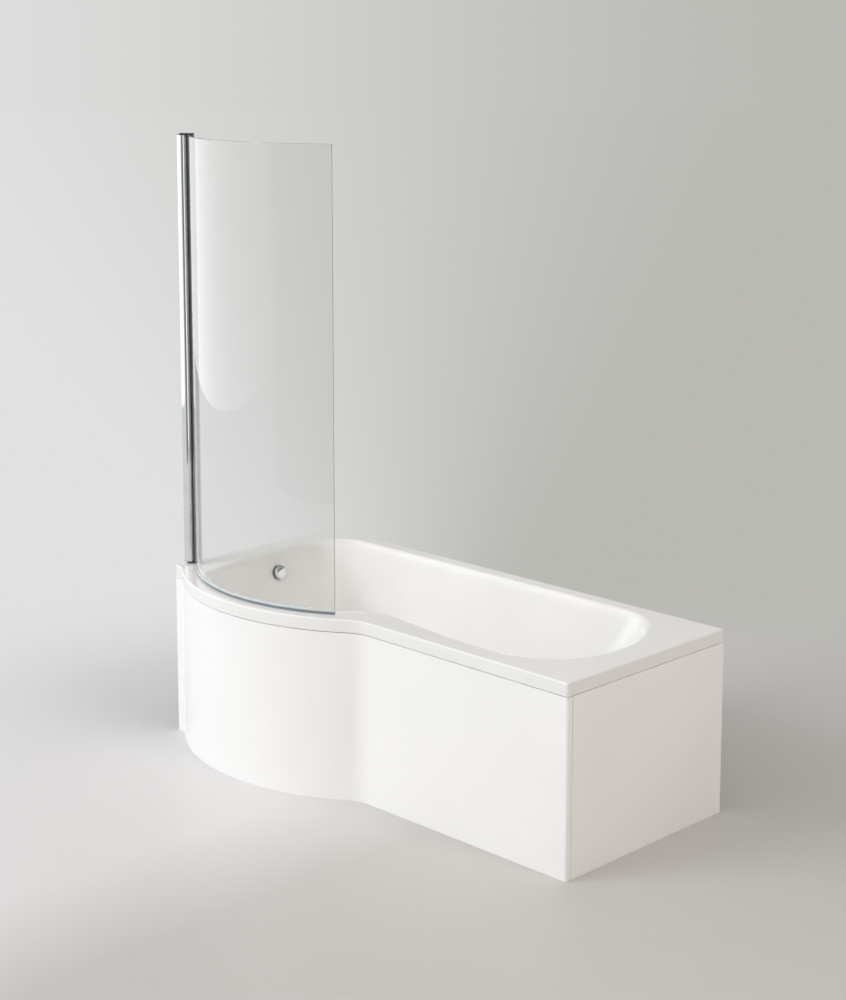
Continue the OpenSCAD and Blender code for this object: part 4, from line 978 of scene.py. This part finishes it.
def set_screws(node, way, shank, head, height):
    """Sets a copy of one screw at each of a CAD node's screws; way is where the shanks point."""
    boxes = solids_of(node)
    size = boxes[0][2] - boxes[0][1]
    length = abs(size.dot(way)) - height
    first = make_screw(shank, length, head, height)
    pieces = []
    for middle, _low, _high in boxes:
        piece = put(node + "_one", first.data.copy())
        stand(piece, middle + way * (height - length) / 2, way)
        pieces.append(piece)
    bpy.data.objects.remove(first)
    settle(join_pieces(node + "_finished", pieces), node)


# Each row: the node, the way its shanks point, the shank's and head's radius, the head's height.
for node, way, shank, head, height in (
    ("panel_clip_screws", UP, 2.0, 3.6, 2.0),
    ("leg_bar_screws", UP, 2.0, 4.5, 2.5),
    ("wall_bracket_screws", Vector((0, 1, 0)), 2.0, 4.0, 2.2),
    ("post_side_screws", Vector((0, -1, 0)), 1.5, 3.0, 1.6),
):
    set_screws(node, way, shank, head, height)


def make_studs():
    """Threaded studs, their thread at its real pitch: one V of it, turned up the whole stud."""
    boxes = solids_of("foot_studs")
    size = boxes[0][2] - boxes[0][1]
    pitch, depth = 1.75, 0.9
    radius = size.x / 2
    root = radius - depth
    turns = int(size.z / pitch) - 1
    mesh = bpy.data.meshes.new("threaded_stud")
    thread = [Vector((root, 0, 0)), Vector((radius, 0, pitch / 2)), Vector((root, 0, pitch))]
    mesh.from_pydata([point * MM for point in thread], [(0, 1), (1, 2)], [])
    stud = put("threaded_stud", mesh)
    use_modifier(stud, "SCREW", angle=2 * pi, screw_offset=pitch * MM, iterations=turns, steps=20,
                 render_steps=20, axis="Z", use_merge_vertices=True, use_normal_calculate=True)
    start_edit(stud)
    bpy.ops.mesh.remove_doubles(threshold=WELD)
    bpy.ops.mesh.select_all(action="DESELECT")
    bpy.ops.mesh.select_non_manifold(extend=False, use_wire=False, use_multi_face=False,
                                     use_non_contiguous=False, use_verts=False)
    bpy.ops.mesh.edge_face_add()
    end_edit()
    close_up(stud, 20)
    pieces = []
    for middle, foot, _high in boxes:
        piece = put("stud_one", stud.data.copy())
        stand(piece, Vector((middle.x, middle.y, foot.z)), UP)
        pieces.append(piece)
    bpy.data.objects.remove(stud)
    settle(join_pieces("threaded_studs", pieces), "foot_studs")


make_studs()


# --- Hose and cable ------------------------------------------------------------------------

def sweep(name, line, radius_at, sides):
    """A tube along a line of points, with a radius for each: mesh code, as its radius changes."""
    build = bmesh.new()
    rings = []
    last = len(line) - 1
    for i, point in enumerate(line):
        along = (line[min(i + 1, last)] - line[max(i - 1, 0)]).normalized()
        side = along.cross(Vector((0, 1, 0))).normalized()
        up = side.cross(along)
        turns = [2 * pi * k / sides for k in range(sides)]
        ring = [point + radius_at(i) * (side * cos(turn) + up * sin(turn)) for turn in turns]
        rings.append([build.verts.new(corner * MM) for corner in ring])
    for ring, following in zip(rings, rings[1:]):
        for k in range(sides):
            build.faces.new((ring[k], ring[(k + 1) % sides], following[(k + 1) % sides], following[k]))
    build.faces.new(rings[0][::-1])
    build.faces.new(rings[-1])
    bmesh.ops.recalc_face_normals(build, faces=build.faces)
    mesh = bpy.data.meshes.new(name)
    build.to_mesh(mesh)
    build.free()
    piece = put(name, mesh)
    smooth(piece, 50)
    return piece


OUTLET_DEPTH, OUTLET_DROP = -24.0, 28.0     # where the hose leaves the overflow's body
INLET_Z, INLET_OUT = FLOOR_Z - 39, 32.0     # where it meets the waste's body
HOSE_BEND, HOSE_R, CABLE_R = 60.0, 15.0, 2.5


def hose_line(step):
    """Points a step apart along the hose: down behind the wall, round, and in to the waste."""
    top = OVERFLOW + OVERFLOW_OUT * OUTLET_DEPTH + OVERFLOW_DOWN * OUTLET_DROP
    length = (top.z - INLET_Z - HOSE_BEND * (1 - sin(WALL_LEAN))) / cos(WALL_LEAN)
    turn = top + OVERFLOW_DOWN * length
    centre = Vector((turn.x + HOSE_BEND * cos(WALL_LEAN), turn.y, INLET_Z + HOSE_BEND))
    line = [top + OVERFLOW_DOWN * length * i / int(length / step) for i in range(int(length / step))]
    swing = pi / 2 - WALL_LEAN
    count = int(HOSE_BEND * swing / step)
    for i in range(count):
        angle = pi + WALL_LEAN + swing * i / count
        line.append(centre + HOSE_BEND * Vector((cos(angle), 0, sin(angle))))
    run = WASTE.x - INLET_OUT - centre.x
    count = int(run / step)
    line += [Vector((centre.x + run * i / count, turn.y, INLET_Z)) for i in range(count + 1)]
    return line


def make_hose():
    """The corrugated overflow hose: ribs 4 mm apart between two plain cuffs."""
    step, groove = 0.8, 1.6
    line = hose_line(step)
    cuff, rib = int(18 / step), int(4 / step)   # their lengths, in steps

    def radius_at(i):
        """The hose's radius at a step, smooth on the cuffs and waved between them."""
        if i < cuff or i > len(line) - cuff:
            return HOSE_R
        return HOSE_R - groove / 2 * (1 - cos(2 * pi * (i - cuff) / rib))

    settle(sweep("corrugated_hose", line, radius_at, 32), "overflow_hose")


def smooth_line(route, steps):
    """Points on a smooth curve through a route."""
    line = []
    for i in range(len(route) - 1):
        a, b, c, d = route[max(i - 1, 0)], route[i], route[i + 1], route[min(i + 2, len(route) - 1)]
        for s in range(steps):
            t = s / steps
            line.append((2 * b + (c - a) * t + (2 * a - 5 * b + 4 * c - d) * t ** 2
                         + (3 * b - a - 3 * c + d) * t ** 3) / 2)
    return line + [route[-1]]


def make_cable():
    """The control cable's sheath, along its solid's route beside the hose."""
    side = Vector((0, -24, 0))
    top = OVERFLOW + OVERFLOW_OUT * OUTLET_DEPTH + side
    end = Vector((WASTE.x, WASTE.y, INLET_Z - 6)) + side
    route = [top + OVERFLOW_DOWN * down for down in (21, 45, 150, 280)]
    route += [end + Vector(step) for step in (
        (-152, -15, 72), (-124, -13, 18), (-92, -5, 1), (-64, 0, 0), (-45, 0, 0), (-25, 0, 0))]
    settle(sweep("control_cable_sheath", smooth_line(route, 14), lambda i: CABLE_R, 20), "control_cable")


make_hose()
make_cable()


# --- Pieces finished from their own solids -------------------------------------------------

# How far each piece's edges are rounded, in millimetres.
for name, width in {
    "front_panel": 0.8, "end_panel": 0.8, "hinge_post": 0.7, "glass_holder": 0.8,
    "hinge_arm_top": 0.8, "hinge_arm_bottom": 0.6, "waste_flange": 0.4, "foot_pads": 0.6,
    "base_board": 0.8, "rim_batten_back": 1.0, "rim_batten_front": 1.0, "rim_batten_open_end": 1.0,
    "rim_batten_wall_end": 1.0, "floor_batten_front": 1.2, "floor_batten_end": 1.2,
    "floor_blocks_bow": 1.2, "leg_bar_waste_end": 0.5, "leg_bar_middle": 0.5,
    "leg_bar_open_end": 0.5, "wall_brackets": 0.5, "panel_clips": 0.5, "rim_batten_bow": 1.0,
    "waste_top_washer": 0.4, "waste_lower_washer": 0.4, "waste_back_nut": 0.8, "waste_body": 0.5,
    "trap_union_nut": 0.8, "trap_bend": 0.5, "trap_outlet_nut": 0.8, "overflow_body": 0.4,
    "overflow_washer": 0.4, "overflow_ring": 0.3, "overflow_spindle": 0.3, "hose_clips": 0.3,
    "pivot_bush_top": 0.3, "pivot_bush_bottom": 0.3, "wall_channel": 0.3, "glazing_gasket": 0.2,
    "foot_adjusting_nuts": 0.6, "foot_lock_nuts": 0.6, "plug_seal": 0.3, "plug_stem": 0.3,
}.items():
    rounded_copy(name, width, HOLDER_DARKENED_METAL if name == "glass_holder" else None)

for name, piece in NODES.items():
    piece.data.materials.clear()
    piece.data.materials.append(MATERIALS[SLOT_OF[name]])
